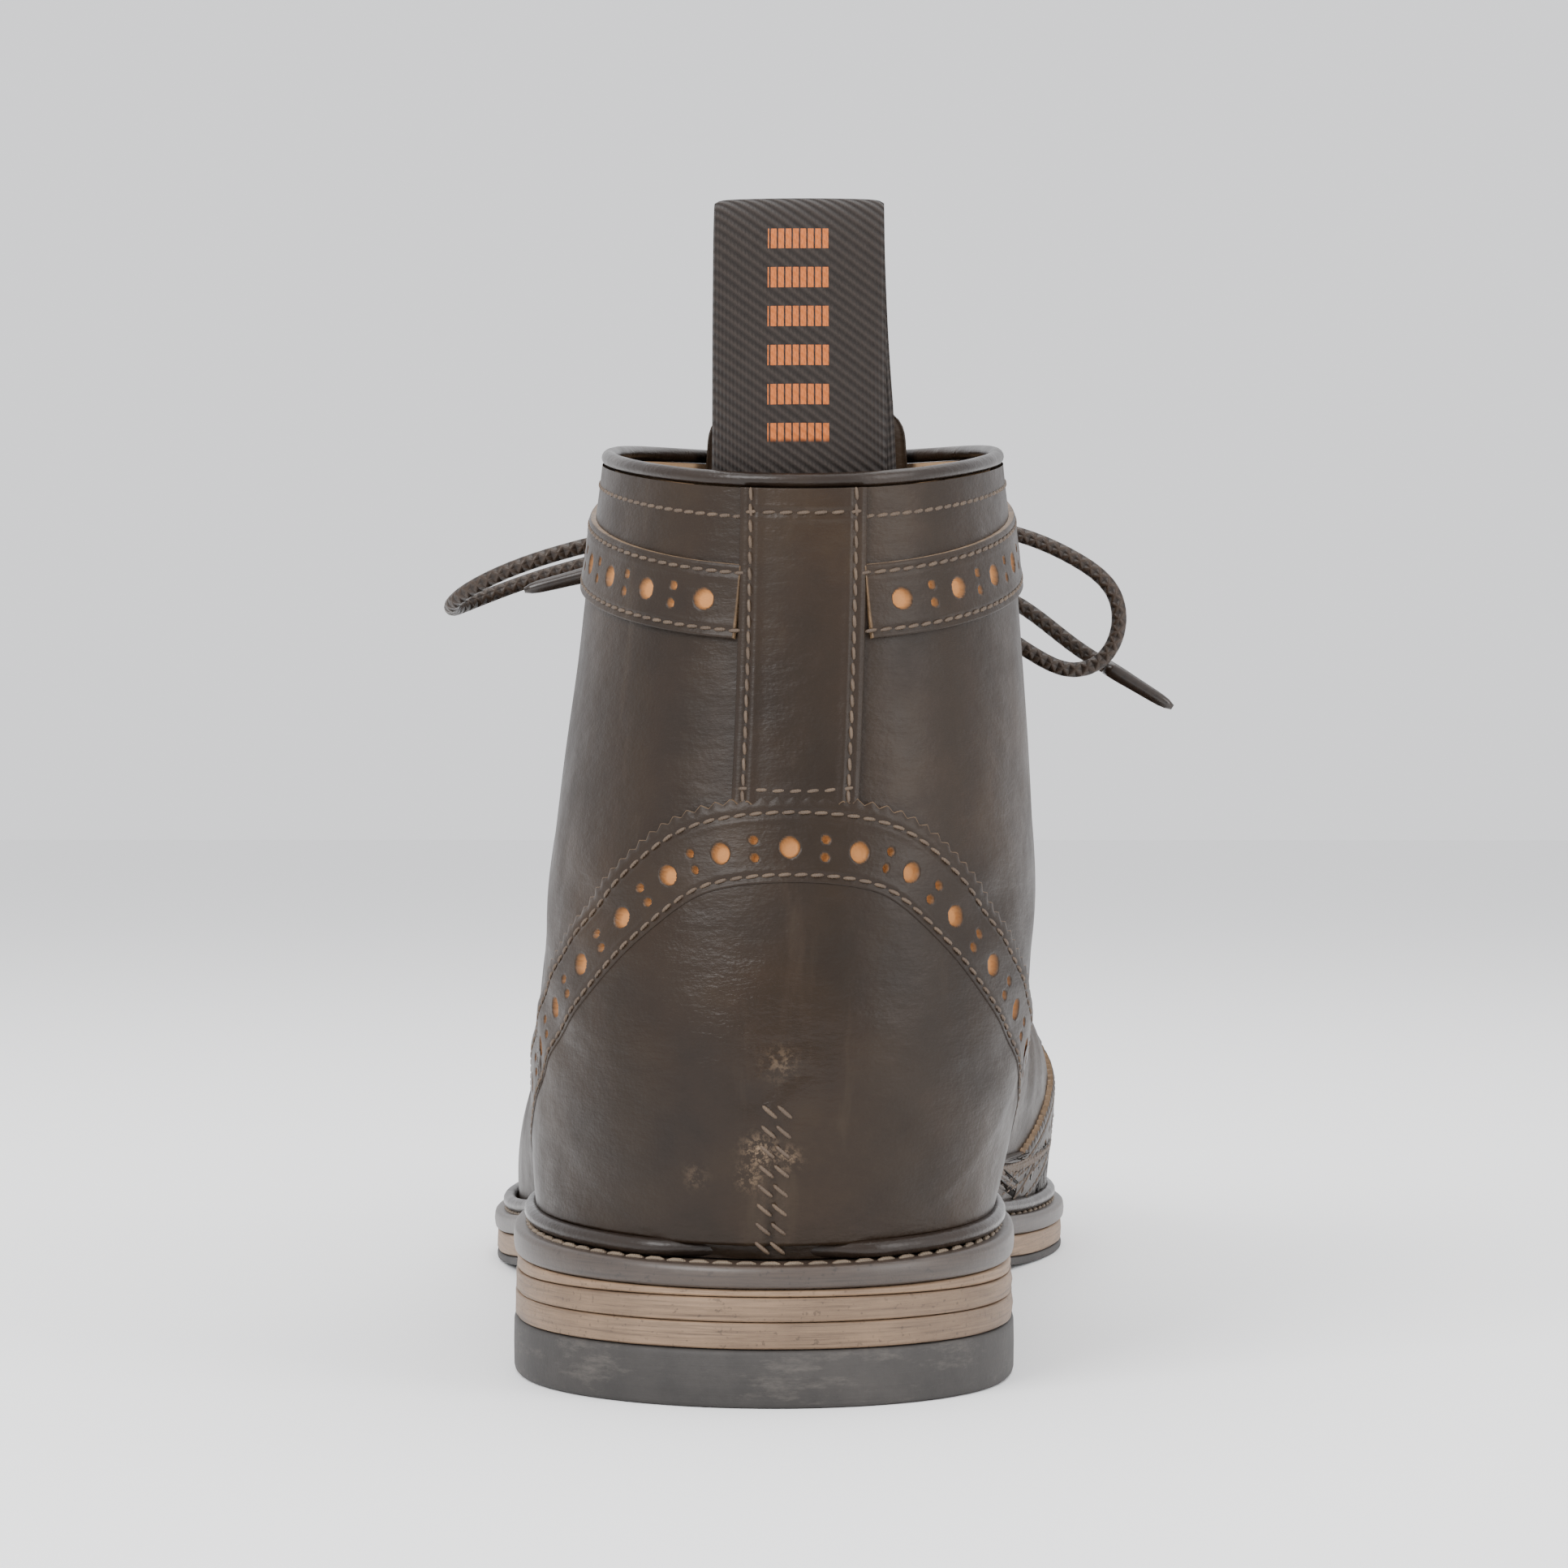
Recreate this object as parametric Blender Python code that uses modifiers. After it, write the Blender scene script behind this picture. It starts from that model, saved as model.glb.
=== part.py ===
# Left brogue ankle boot: a lasted leather upper on a welted sole with a stacked heel.
# Origin: the middle of the heel's ground face. +Y runs to the toe, +X to the inner side, +Z up.
import math

import bmesh
import bpy
import numpy as np
from mathutils import Matrix, Vector

mm = 0.001

# Sizes of the sole
sole_length = 306 * mm
heel_width = 78.6 * mm
ball_width = 111.5 * mm
heel_length = 78 * mm
toe_spring = 11.5 * mm
welt_reach = 4.9 * mm
welt_thickness = 3.9 * mm
leather_sole_thickness = 4.0 * mm
forepart_thickness = 1.6 * mm
upper_lift_thickness = 3.7 * mm
lower_lift_thickness = 4.0 * mm
top_piece_thickness = 8.6 * mm
tread_edge = 1.2 * mm
welt_ring_width = 17 * mm
bead_radius = 1.3 * mm

# Sizes of the upper
collar_back_height = 136 * mm
collar_front_height = 148 * mm
instep_height = 94.5 * mm
toe_box_height = 47 * mm
topline_dip = 2.6 * mm
upper_wall = 2.2 * mm
overlay_thickness = 1.2 * mm
band_thickness = 0.9 * mm
binding_radius = 1.15 * mm
insole_thickness = 3.0 * mm
tongue_thickness = 2.6 * mm
tongue_half_width = 27 * mm
clearance = 0.3 * mm
fullness = 2.12
facet_room = 0.3 * mm
end_density = 0.075
low_density = 1.4

# Sizes of the overlays
back_strip_width = 18.8 * mm
counter_back_height = 89.5 * mm
counter_reach = 96 * mm
band_drop = 12.0 * mm
band_width = 10.0 * mm
throat_gap = 10 * mm
facing_width = 21 * mm

# Sizes of the fastening
eyelet_pairs = 6
eyelet_inset = 8.5 * mm
eyelet_flange_radius = 3.9 * mm
eyelet_barrel_radius = 2.5 * mm
eyelet_bore_radius = 1.9 * mm
eyelet_flange_thickness = 0.8 * mm
lace_radius = 1.35 * mm
aglet_length = 14 * mm
aglet_radius = 1.45 * mm
loop_width = 25 * mm
loop_rise = 44.5 * mm
loop_depth_below = 16 * mm
loop_bulge = 9 * mm
webbing_thickness = 1.4 * mm

throat_turn = 0.47
wing_turns = (0.30, 0.25, 0.29, 0.38, 0.52)
heel_round = 19 * mm
sole_inset = 0.4 * mm
insole_inset = welt_reach + upper_wall + 2.6 * mm
overlay_foot = 2 * bead_radius + 5 * clearance
eyelet_end_margin = 9 * mm
heel_stack = upper_lift_thickness + lower_lift_thickness + top_piece_thickness
heel_centre = heel_length / 2 + 1.5 * mm
reach = {"heel": heel_width / 2, "ball": ball_width / 2}
level = {"toe": toe_box_height, "instep": instep_height, "collar": collar_front_height}

# Sole outline. Along: share of the sole length from the heel. Outer and inner: half-widths as
# shares of half the heel or ball width that the row follows.
sole_rows = (
    # along, follows, outer, inner
    (0.0000, "heel", 0.000, 0.000),
    (0.0150, "heel", 0.460, 0.460),
    (0.0420, "heel", 0.730, 0.730),
    (0.0800, "heel", 0.910, 0.910),
    (0.1370, "heel", 1.000, 1.000),
    (0.2000, "heel", 0.995, 1.000),
    (0.2600, "heel", 0.960, 0.950),
    (0.3400, "ball", 0.665, 0.595),
    (0.4300, "ball", 0.740, 0.575),
    (0.5200, "ball", 0.875, 0.710),
    (0.6000, "ball", 0.985, 0.880),
    (0.6700, "ball", 1.012, 0.980),
    (0.7400, "ball", 0.965, 0.985),
    (0.8100, "ball", 0.850, 0.890),
    (0.8750, "ball", 0.720, 0.755),
    (0.9300, "ball", 0.560, 0.595),
    (0.9700, "ball", 0.382, 0.405),
    (0.9920, "ball", 0.204, 0.215),
    (1.0000, "ball", 0.000, 0.000),
)

# Side view of the sole. Fall: height of the leather sole's under-face between the forepart (0)
# and the heel seat (1). Spring: share of the toe spring. Leather and welt: shares of thickness.
profile_rows = (
    # along, fall, spring, leather, welt
    (0.000, 1.000, 0.000, 0.25, 0.93),
    (0.070, 0.980, 0.000, 0.45, 1.12),
    (0.137, 0.965, 0.000, 0.64, 1.20),
    (0.255, 0.900, 0.000, 0.85, 1.15),
    (0.360, 0.660, 0.000, 0.96, 1.05),
    (0.450, 0.360, 0.000, 1.00, 1.00),
    (0.530, 0.120, 0.000, 1.00, 1.00),
    (0.600, 0.015, 0.000, 1.00, 1.00),
    (0.660, 0.000, 0.000, 1.00, 1.00),
    (0.740, 0.000, 0.004, 1.00, 1.00),
    (0.820, 0.000, 0.140, 1.00, 1.00),
    (0.900, 0.000, 0.440, 1.00, 1.00),
    (1.000, 0.000, 1.000, 1.00, 1.00),
)

# Sections of the upper, as rings that fan from the toe (turn 0) over the heel's lower corner
# (turn 1) to the collar (turn 2). A ring starts on the feather line or, past turn 1, on the back
# line, and ends on the top line at top_along and top_height. Outer and inner are its greatest
# half-widths, outer_low and inner_low how far up the ring they lie, crown its fullness above
# them, ridge and back the sideways place of its ends as shares of half the ball width.
section_rows = (
    # turn, top_along, level, top_height, follows, outer, inner, outer_low, inner_low, crown, ridge
    (0.00, 0.9880, "toe", 0.700, "ball", 0.000, 0.000, 0.46, 0.46, 2.60, 0.075),
    (0.08, 0.9640, "toe", 0.895, "ball", 0.300, 0.330, 0.40, 0.42, 2.50, 0.080),
    (0.16, 0.9170, "toe", 1.000, "ball", 0.535, 0.585, 0.32, 0.37, 2.40, 0.085),
    (0.24, 0.8430, "toe", 1.096, "ball", 0.735, 0.780, 0.25, 0.34, 2.30, 0.090),
    (0.32, 0.7500, "instep", 0.625, "ball", 0.890, 0.900, 0.20, 0.33, 2.15, 0.090),
    (0.40, 0.6480, "instep", 0.738, "ball", 0.945, 0.885, 0.18, 0.34, 2.00, 0.090),
    (0.48, 0.5620, "instep", 0.868, "ball", 0.860, 0.775, 0.22, 0.38, 1.85, 0.088),
    (0.56, 0.5030, "instep", 1.000, "ball", 0.750, 0.705, 0.28, 0.40, 1.80, 0.085),
    (0.64, 0.4650, "collar", 0.713, "heel", 0.985, 0.965, 0.33, 0.39, 1.80, 0.085),
    (0.72, 0.4430, "collar", 0.774, "heel", 0.980, 0.975, 0.36, 0.38, 1.85, 0.088),
    (0.80, 0.4280, "collar", 0.819, "heel", 0.984, 0.990, 0.385, 0.39, 1.90, 0.092),
    (0.88, 0.4180, "collar", 0.853, "heel", 0.988, 1.000, 0.402, 0.404, 1.98, 0.096),
    (0.94, 0.4130, "collar", 0.874, "heel", 0.990, 1.004, 0.408, 0.409, 2.03, 0.100),
    (1.00, 0.4080, "collar", 0.892, "heel", 0.986, 1.004, 0.410, 0.410, 2.05, 0.102),
    (1.08, 0.4050, "collar", 0.906, "heel", 0.981, 1.000, 0.410, 0.410, 2.05, 0.103),
    (1.20, 0.4010, "collar", 0.926, "heel", 0.965, 0.980, 0.412, 0.412, 2.08, 0.104),
    (1.40, 0.3970, "collar", 0.951, "heel", 0.940, 0.940, 0.415, 0.415, 2.10, 0.106),
    (1.60, 0.3935, "collar", 0.972, "heel", 0.908, 0.898, 0.42, 0.42, 2.10, 0.107),
    (1.80, 0.3915, "collar", 0.988, "heel", 0.877, 0.855, 0.42, 0.42, 2.10, 0.108),
    (2.00, 0.3905, "collar", 1.000, "heel", 0.830, 0.803, 0.42, 0.42, 2.10, 0.108),
    (2.20, 0.3895, "collar", 1.064, "heel", 0.800, 0.780, 0.42, 0.42, 2.10, 0.108),
)

# Back line of the upper: along as a share of the sole length, sway to the inner side as a share
# of half the heel width, dip as the share of the topline dip.
back_rows = (
    # turn, along, sway, dip
    (1.00, 0.0155, 0.050, 0.0),
    (1.20, 0.0020, 0.085, 0.0),
    (1.40, 0.0045, 0.120, 0.0),
    (1.60, 0.0150, 0.150, 0.0),
    (1.80, 0.0245, 0.170, 0.5),
    (2.00, 0.0265, 0.180, 1.0),
    (2.20, 0.0250, 0.185, 1.0),
)

# Top edge of the heel counter: depth is the share of the counter's reach from the back line,
# height the share of its height at the back above the seat.
counter_rows = (
    # depth, height
    (0.00, 1.000),
    (0.04, 0.965),
    (0.10, 0.880),
    (0.20, 0.740),
    (0.35, 0.580),
    (0.55, 0.390),
    (0.80, 0.190),
    (1.00, 0.075),
)

knot_centre = (6.5 * mm, 93.5 * mm, 136.0 * mm)
knot_size = (7.0 * mm, 4.6 * mm, 4.8 * mm)

# Routes of the bow in millimetres, across, forward and up, each from the knot outward.
bow_routes = {
    "bow_loop_inner": (
        (13.7, 93.1, 137.3), (28, 90, 138.6), (42.1, 88.5, 136.9), (54.0, 88.5, 131.9),
        (60.2, 88.5, 126.3), (61.3, 88.5, 121), (57.5, 88.5, 113.7), (53.4, 88.5, 112.4),
        (47, 88.5, 114.6), (36, 89.5, 122.0), (26, 91, 127.5), (12.9, 93.2, 133.2)),
    "bow_loop_outer": (
        (0.3, 90.6, 137.6), (-14, 84, 137.6), (-33, 79, 134.2), (-50, 80, 128.6),
        (-57, 85.5, 124.9), (-58.3, 91, 123.6), (-56, 97, 124.7), (-46, 101, 128.8),
        (-33, 101.5, 132.6), (-14, 98, 136.2), (-0.7, 94.7, 137.3)),
    "lace_end_inner": (
        (10.2, 98.4, 133.5), (24, 99, 130.5), (43.5, 96, 124.5), (54.1, 95, 116.6), (59.3, 94.5, 113.2)),
    "lace_end_outer": (
        (1.3, 96.8, 132.2), (-10, 94, 132.6), (-21, 91, 132.4), (-31.5, 90, 130.2)),
}


def spline(knots, values):
    """Natural cubic curve through the knots; beyond the ends it keeps the end piece."""
    x = np.asarray(knots, float)
    y = np.asarray(values, float)
    count = len(x)
    step = np.diff(x)
    matrix = np.eye(count)
    right = np.zeros(count)
    for i in range(1, count - 1):
        matrix[i, i - 1:i + 2] = step[i - 1], 2 * (step[i - 1] + step[i]), step[i]
        right[i] = 6 * ((y[i + 1] - y[i]) / step[i] - (y[i] - y[i - 1]) / step[i - 1])
    bend = np.linalg.solve(matrix, right)

    def at(place):
        place = np.asarray(place, float)
        i = np.clip(np.searchsorted(x, place, side="right") - 1, 0, count - 2)
        span = step[i]
        after = (place - x[i]) / span
        before = 1 - after
        curve = (before ** 3 - before) * bend[i] + (after ** 3 - after) * bend[i + 1]
        return before * y[i] + after * y[i + 1] + curve * span ** 2 / 6
    return at


def turn_of(along):
    """Angle-like place of a share of the length, 0 at the heel and pi at the toe."""
    return np.arccos(np.clip(1 - 2 * np.asarray(along, float), -1, 1))


def sole_centre(along):
    return spline((0.0, 0.137, 0.5, 0.8, 1.0), (0.002, 0.0, 0.0, 0.0006, 0.004))(along)


sole_turn = turn_of([row[0] for row in sole_rows])
outer_half = spline(sole_turn, [reach[row[1]] * row[2] for row in sole_rows])
inner_half = spline(sole_turn, [reach[row[1]] * row[3] for row in sole_rows])

profile_along = [row[0] for row in profile_rows]
fall = spline(profile_along, [row[1] for row in profile_rows])
spring = spline(profile_along, [row[2] for row in profile_rows])
leather_share = spline(profile_along, [row[3] for row in profile_rows])
welt_share = spline(profile_along, [row[4] for row in profile_rows])


def tread_height(depth):
    """Under-face of the forepart rubber, flat where it stands on the ground."""
    along = depth / sole_length
    lift = (heel_stack - forepart_thickness) * np.maximum(fall(along), 0)
    return lift + toe_spring * np.maximum(spring(along), 0) * (along > 0.74)


def sole_under(depth):
    """Under-face of the leather sole."""
    return tread_height(depth) + forepart_thickness


def welt_under(depth):
    """Where welt and leather sole meet."""
    return sole_under(depth) + leather_sole_thickness * leather_share(depth / sole_length)


def seat_height(depth):
    """Top of the welt, on which the upper stands."""
    return welt_under(depth) + welt_thickness * welt_share(depth / sole_length)


def sole_loop(count, inset=0.0):
    """Outline from heel to toe on the outer side and back on the inner side, moved inward."""
    turn = np.linspace(0, 2 * math.pi, 2 * count + 1)[:-1]
    depth = sole_length * (1 - np.cos(turn)) / 2
    outer = turn <= math.pi
    half = np.where(outer, -outer_half(turn), inner_half(2 * math.pi - turn))
    across = sole_centre(depth / sole_length) + half
    points = np.stack([across, depth], axis=1)
    along = np.roll(points, -1, axis=0) - np.roll(points, 1, axis=0)
    along /= np.linalg.norm(along, axis=1)[:, None]
    inward = np.stack([along[:, 1], -along[:, 0]], axis=1)
    return points + inward * inset


fine_loop = sole_loop(720, welt_reach)
feather_back = fine_loop[:, 1].min()
feather_front = fine_loop[:, 1].max()
feather_length = feather_front - feather_back
outer_edge = fine_loop[:721]
inner_edge = np.vstack([fine_loop[720:], fine_loop[:1]])[::-1]


def feather_x(depth, edge):
    """Sideways place of the feather line on one side."""
    turn = turn_of((depth - feather_back) / feather_length)
    known = turn_of((edge[:, 1] - feather_back) / feather_length)
    return np.interp(turn, known, edge[:, 0])


section_turn = [row[0] for row in section_rows]
top_depth = spline(section_turn, [sole_length * row[1] for row in section_rows])
top_height = spline(section_turn, [level[row[2]] * row[3] for row in section_rows])
outer_full = spline(section_turn, [reach[row[4]] * row[5] for row in section_rows])
inner_full = spline(section_turn, [reach[row[4]] * row[6] for row in section_rows])
outer_low = spline(section_turn, [row[7] for row in section_rows])
inner_low = spline(section_turn, [row[8] for row in section_rows])
crown = spline(section_turn, [row[9] for row in section_rows])
ridge = spline(section_turn, [ball_width / 2 * row[10] for row in section_rows])
back_turn = [row[0] for row in back_rows]
back_depth = spline(back_turn, [sole_length * row[1] for row in back_rows])
back_sway = spline(back_turn, [heel_width / 2 * row[2] for row in back_rows])
back_dip = spline(back_turn, [row[3] for row in back_rows])


def ring_start(turn):
    """Depth, height and sideways place where a ring starts."""
    turn = np.asarray(turn, float)
    lower = np.minimum(turn, 1)
    depth = feather_back + feather_length * (1 + np.cos(math.pi * lower)) / 2
    height = seat_height(depth) + clearance
    seat = seat_height(feather_back) + clearance
    climb = seat + (collar_back_height - seat) * (turn - 1)
    middle = sole_centre(depth / sole_length)
    upper = turn > 1
    depth = np.where(upper, back_depth(turn) - back_depth(1.0) + feather_back, depth)
    sway = back_sway(turn) - back_sway(1.0) + sole_centre(feather_back / sole_length)
    return depth, np.where(upper, climb, height), np.where(upper, sway, middle)


def ring_point(turn, rise, side):
    """Point on the last's surface: ring, share of the way up it, side -1 outer or 1 inner."""
    turn, rise, side = np.broadcast_arrays(*(np.asarray(a, float) for a in (turn, rise, side)))
    start_depth, start_height, start_x = ring_start(turn)
    lower = np.minimum(turn, 1)
    feather = feather_back + feather_length * (1 + np.cos(math.pi * lower)) / 2
    outer = start_x - feather_x(feather, outer_edge)
    inner = feather_x(feather, inner_edge) - start_x
    edge = np.where(turn < 1, np.where(side < 0, outer, inner), 0)
    full = np.maximum(np.where(side < 0, outer_full(turn), inner_full(turn)), 1e-7)
    low = np.where(side < 0, outer_low(turn), inner_low(turn))
    share = np.clip(edge / full, 0, 0.999)
    begin = 1 - (1 - share ** fullness) ** (1 / fullness)
    climb = begin + (1 - begin) * np.clip(rise / low, 0, 1)
    below = np.maximum(1 - (1 - climb) ** fullness, 0) ** (1 / fullness)
    over = np.clip((rise - low) / (1 - low), 0, 1)
    above = np.sqrt(np.maximum(1 - over ** crown(turn), 0))
    half = full * np.where(rise < low, below, above)
    end_depth = top_depth(turn)
    end_height = top_height(turn)
    depth = start_depth + (end_depth - start_depth) * rise
    height = start_height + (end_height - start_height) * rise
    dip = np.where(turn > 1.6, back_dip(turn), 0)
    height = height + topline_dip * dip * 4 * rise * (1 - rise)
    across = start_x + (ridge(turn) - start_x) * rise + side * half
    return np.stack([across, depth - heel_centre, height], axis=-1)


def one_side_normal(turn, rise, side):
    small = 1e-4
    rise = np.clip(rise, 2 * small, 1 - 2 * small)
    turn = np.maximum(turn, 2 * small)
    upward = ring_point(turn, rise + small, side) - ring_point(turn, rise - small, side)
    backward = ring_point(turn + small, rise, side) - ring_point(turn - small, rise, side)
    normal = np.cross(upward, backward) * side[..., None]
    return normal / np.maximum(np.linalg.norm(normal, axis=-1, keepdims=True), 1e-12)


def surface_normal(turn, rise, side):
    """Outward unit normal; where both sides meet it is the mean of theirs."""
    turn, rise, side = np.broadcast_arrays(*(np.asarray(a, float) for a in (turn, rise, side)))
    meeting = (rise < 1e-6) & (turn >= 1) | (rise > 1 - 1e-6) | (turn < 1e-6)
    normal = one_side_normal(turn, rise, side)
    other = one_side_normal(turn, rise, -side)
    normal = np.where(meeting[..., None], normal + other, normal)
    return normal / np.maximum(np.linalg.norm(normal, axis=-1, keepdims=True), 1e-12)


def ring_places(turn, distances, from_top):
    """Share up a ring, and side, for signed distances from its start or from its top."""
    distances = np.asarray(distances, float)
    side = np.where(distances < 0, -1.0, 1.0)
    rise = (1 - np.cos(np.linspace(0, math.pi, 200))) / 2
    found = np.zeros_like(distances)
    for sign in (-1.0, 1.0):
        points = ring_point(turn, rise, sign)
        length = np.concatenate([[0], np.cumsum(np.linalg.norm(np.diff(points, axis=0), axis=1))])
        place = length[-1] - abs(distances) if from_top else abs(distances)
        found = np.where(side == sign, np.interp(place, length, rise), found)
    return found, side


def ring_length(turn, side):
    rise = (1 - np.cos(np.linspace(0, math.pi, 200))) / 2
    points = ring_point(turn, rise, side)
    return np.linalg.norm(np.diff(points, axis=0), axis=1).sum()


def denser_ends(share):
    """Even shares of a length, moved closer together towards both its ends."""
    return share - end_density * np.sin(2 * math.pi * share)


def patch(turns, distances, from_top):
    """Grid of surface points and normals: a row for each ring, its distances along it."""
    points = []
    normals = []
    for turn, row in zip(turns, distances):
        rise, side = ring_places(turn, row, from_top)
        points.append(ring_point(turn, rise, side))
        normals.append(surface_normal(turn, rise, side))
    return np.array(points), np.array(normals)


def turn_at(height):
    """Ring whose start on the back line lies at a height."""
    low = seat_height(feather_back) + clearance
    return 1 + (height - low) / (collar_back_height - low)


def surface_at(depth, height, side):
    """Surface point and normal at a place of the side view, by halving the range of rings."""
    low = np.zeros_like(depth)
    high = np.full_like(depth, 2.2)
    for _ in range(40):
        turn = (low + high) / 2
        start_depth, start_height, _ = ring_start(turn)
        run = top_depth(turn) - start_depth
        climb = top_height(turn) - start_height
        behind = run * (height - start_height) > climb * (depth - start_depth)
        low = np.where(behind, turn, low)
        high = np.where(behind, high, turn)
    rise = (depth - start_depth) * run + (height - start_height) * climb
    rise = np.clip(rise / (run ** 2 + climb ** 2), 0, 1)
    return ring_point(turn, rise, side), surface_normal(turn, rise, side)


def new_object(name, vertices, faces, collection, paint):
    mesh = bpy.data.meshes.new(name)
    mesh.from_pydata([tuple(v) for v in vertices], [], [tuple(f) for f in faces])
    body = bmesh.new()
    body.from_mesh(mesh)
    bmesh.ops.remove_doubles(body, verts=body.verts, dist=1e-6)
    bmesh.ops.dissolve_degenerate(body, dist=1e-7, edges=body.edges)
    body.to_mesh(mesh)
    body.free()
    mesh.shade_smooth()
    thing = bpy.data.objects.new(name, mesh)
    collection.objects.link(thing)
    if paint:
        mesh.materials.append(paint)
    return thing


def material(name, colour, roughness, metallic=0.0):
    paint = bpy.data.materials.new(name)
    paint.use_nodes = True
    shader = paint.node_tree.nodes["Principled BSDF"]
    shader.inputs["Base Color"].default_value = (*colour, 1)
    shader.inputs["Roughness"].default_value = roughness
    shader.inputs["Metallic"].default_value = metallic
    return paint


def grid_faces(rows, columns, flip=False):
    faces = []
    for i in range(rows - 1):
        for j in range(columns - 1):
            a = i * columns + j
            face = (a, a + 1, a + columns + 1, a + columns)
            faces.append(face[::-1] if flip else face)
    return faces


def shell(name, surface, thickness, collection, paint, gap=clearance, joined_start=False):
    """Sheet of a thickness that stands a gap off a grid of surface points with their normals."""
    points, normals = surface
    inner = points + normals * gap
    outer = points + normals * (gap + thickness)
    rows, columns = points.shape[:2]
    count = rows * columns
    under = grid_faces(rows, columns)
    over = [tuple(count + k for k in face[::-1]) for face in under]
    rim = [(i * columns, (i + 1) * columns) for i in range(rows - 1)]
    rim += [((i + 1) * columns - 1, (i + 2) * columns - 1) for i in range(rows - 1)]
    rim += [((rows - 1) * columns + j, (rows - 1) * columns + j + 1) for j in range(columns - 1)]
    if not joined_start:
        rim += [(j, j + 1) for j in range(columns - 1)]
    sides = [(a, b, count + b, count + a) for a, b in rim]
    vertices = np.vstack([inner.reshape(-1, 3), outer.reshape(-1, 3)])
    thing = new_object(name, vertices, under + over + sides, collection, paint)
    set_outward(thing)
    return thing


def set_outward(thing):
    body = bmesh.new()
    body.from_mesh(thing.data)
    bmesh.ops.recalc_face_normals(body, faces=body.faces)
    if body.calc_volume(signed=True) < 0:
        bmesh.ops.reverse_faces(body, faces=body.faces)
    body.to_mesh(thing.data)
    body.free()


def sole_plate(name, levels, collection, paint, start=0.0, end=1.0, count=24):
    """Plate with the sole's outline; each level, from the ground up, is an inset and a height."""
    rounds = []
    for inset, height in levels:
        loop = sole_loop(count * 4, inset)
        outer = loop[:count * 4 + 1]
        inner = np.vstack([loop[count * 4:], loop[:1]])[::-1]
        back = loop[:, 1].min()
        length = np.ptp(loop[:, 1])
        first = turn_of((max(start, back) - back) / length)
        last = turn_of((min(end * sole_length, back + length) - back) / length)
        turn = np.linspace(first, last, count + 1)
        depth = back + length * (1 - np.cos(turn)) / 2
        for edge in (outer, inner):
            across = np.interp(depth, edge[:, 1], edge[:, 0])
            rounds.append(np.stack([across, depth - heel_centre, height(depth)], axis=1))
    n = count + 1
    left = list(range(0, len(rounds), 2))
    order = left + [k + 1 for k in left[::-1]]
    faces = []
    for i in range(count):
        for a, b in zip(order, order[1:] + order[:1]):
            faces.append((a * n + i, a * n + i + 1, b * n + i + 1, b * n + i))
    faces.append(tuple(k * n for k in order))
    faces.append(tuple(k * n + n - 1 for k in order[::-1]))
    thing = new_object(name, np.vstack(rounds), faces, collection, paint)
    set_outward(thing)
    return thing


def ring_band(name, profile, collection, paint, count=28):
    """Closed band round the sole: each profile point is an inset and a height function."""
    loops = []
    for inset, height in profile:
        loop = sole_loop(count, inset)
        z = height(loop[:, 1])
        loops.append(np.stack([loop[:, 0], loop[:, 1] - heel_centre, z], axis=1))
    n = 2 * count
    faces = []
    for k in range(len(profile)):
        after = (k + 1) % len(profile)
        for i in range(n):
            j = (i + 1) % n
            faces.append((k * n + i, k * n + j, after * n + j, after * n + i))
    thing = new_object(name, np.vstack(loops), faces, collection, paint)
    set_outward(thing)
    return thing


def tube(name, points, radius, collection, paint, closed=False, sides=2):
    """Round cord or roll along a list of points."""
    curve = bpy.data.curves.new(name, "CURVE")
    curve.dimensions = "3D"
    curve.bevel_depth = radius
    curve.bevel_resolution = sides
    curve.render_resolution_u = 0
    curve.use_fill_caps = not closed
    line = curve.splines.new("POLY")
    line.points.add(len(points) - 1)
    for target, point in zip(line.points, points):
        target.co = (*point, 1)
    line.use_cyclic_u = closed
    line.use_smooth = True
    curve.materials.append(paint)
    thing = bpy.data.objects.new(name, curve)
    collection.objects.link(thing)
    return thing


def smooth_route(points, spacing):
    """Evenly spaced points on a smooth curve through a route's own points."""
    points = np.asarray(points, float)
    steps = np.linalg.norm(np.diff(points, axis=0), axis=1)
    knots = np.concatenate([[0], np.cumsum(steps)])
    curves = [spline(knots, points[:, k]) for k in range(3)]
    fine = np.linspace(0, knots[-1], 600)
    dense = np.stack([c(fine) for c in curves], axis=1)
    length = np.concatenate([[0], np.cumsum(np.linalg.norm(np.diff(dense, axis=0), axis=1))])
    count = max(3, int(round(length[-1] / spacing)) + 1)
    place = np.interp(np.linspace(0, length[-1], count), length, fine)
    return np.stack([c(place) for c in curves], axis=1)


def as_mesh(thing):
    """Turn a curve object into a closed mesh object in its place."""
    bpy.context.view_layer.update()
    graph = bpy.context.evaluated_depsgraph_get()
    mesh = bpy.data.meshes.new_from_object(thing.evaluated_get(graph))
    body = bmesh.new()
    body.from_mesh(mesh)
    bmesh.ops.remove_doubles(body, verts=body.verts, dist=1e-6)
    body.to_mesh(mesh)
    body.free()
    name = thing.name
    collection = thing.users_collection[0]
    solid = bpy.data.objects.new(name, mesh)
    solid.matrix_world = thing.matrix_world
    bpy.data.objects.remove(thing)
    solid.name = name
    collection.objects.link(solid)
    return solid


def throat_half(turn):
    """Half the open width of the throat along a ring."""
    opened = np.sqrt(np.clip((turn - throat_turn) / 0.06, 0, 1))
    return throat_gap / 2 * opened * (1 + 0.5 * np.clip(turn - 0.6, 0, 1.4) / 1.4)


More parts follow.
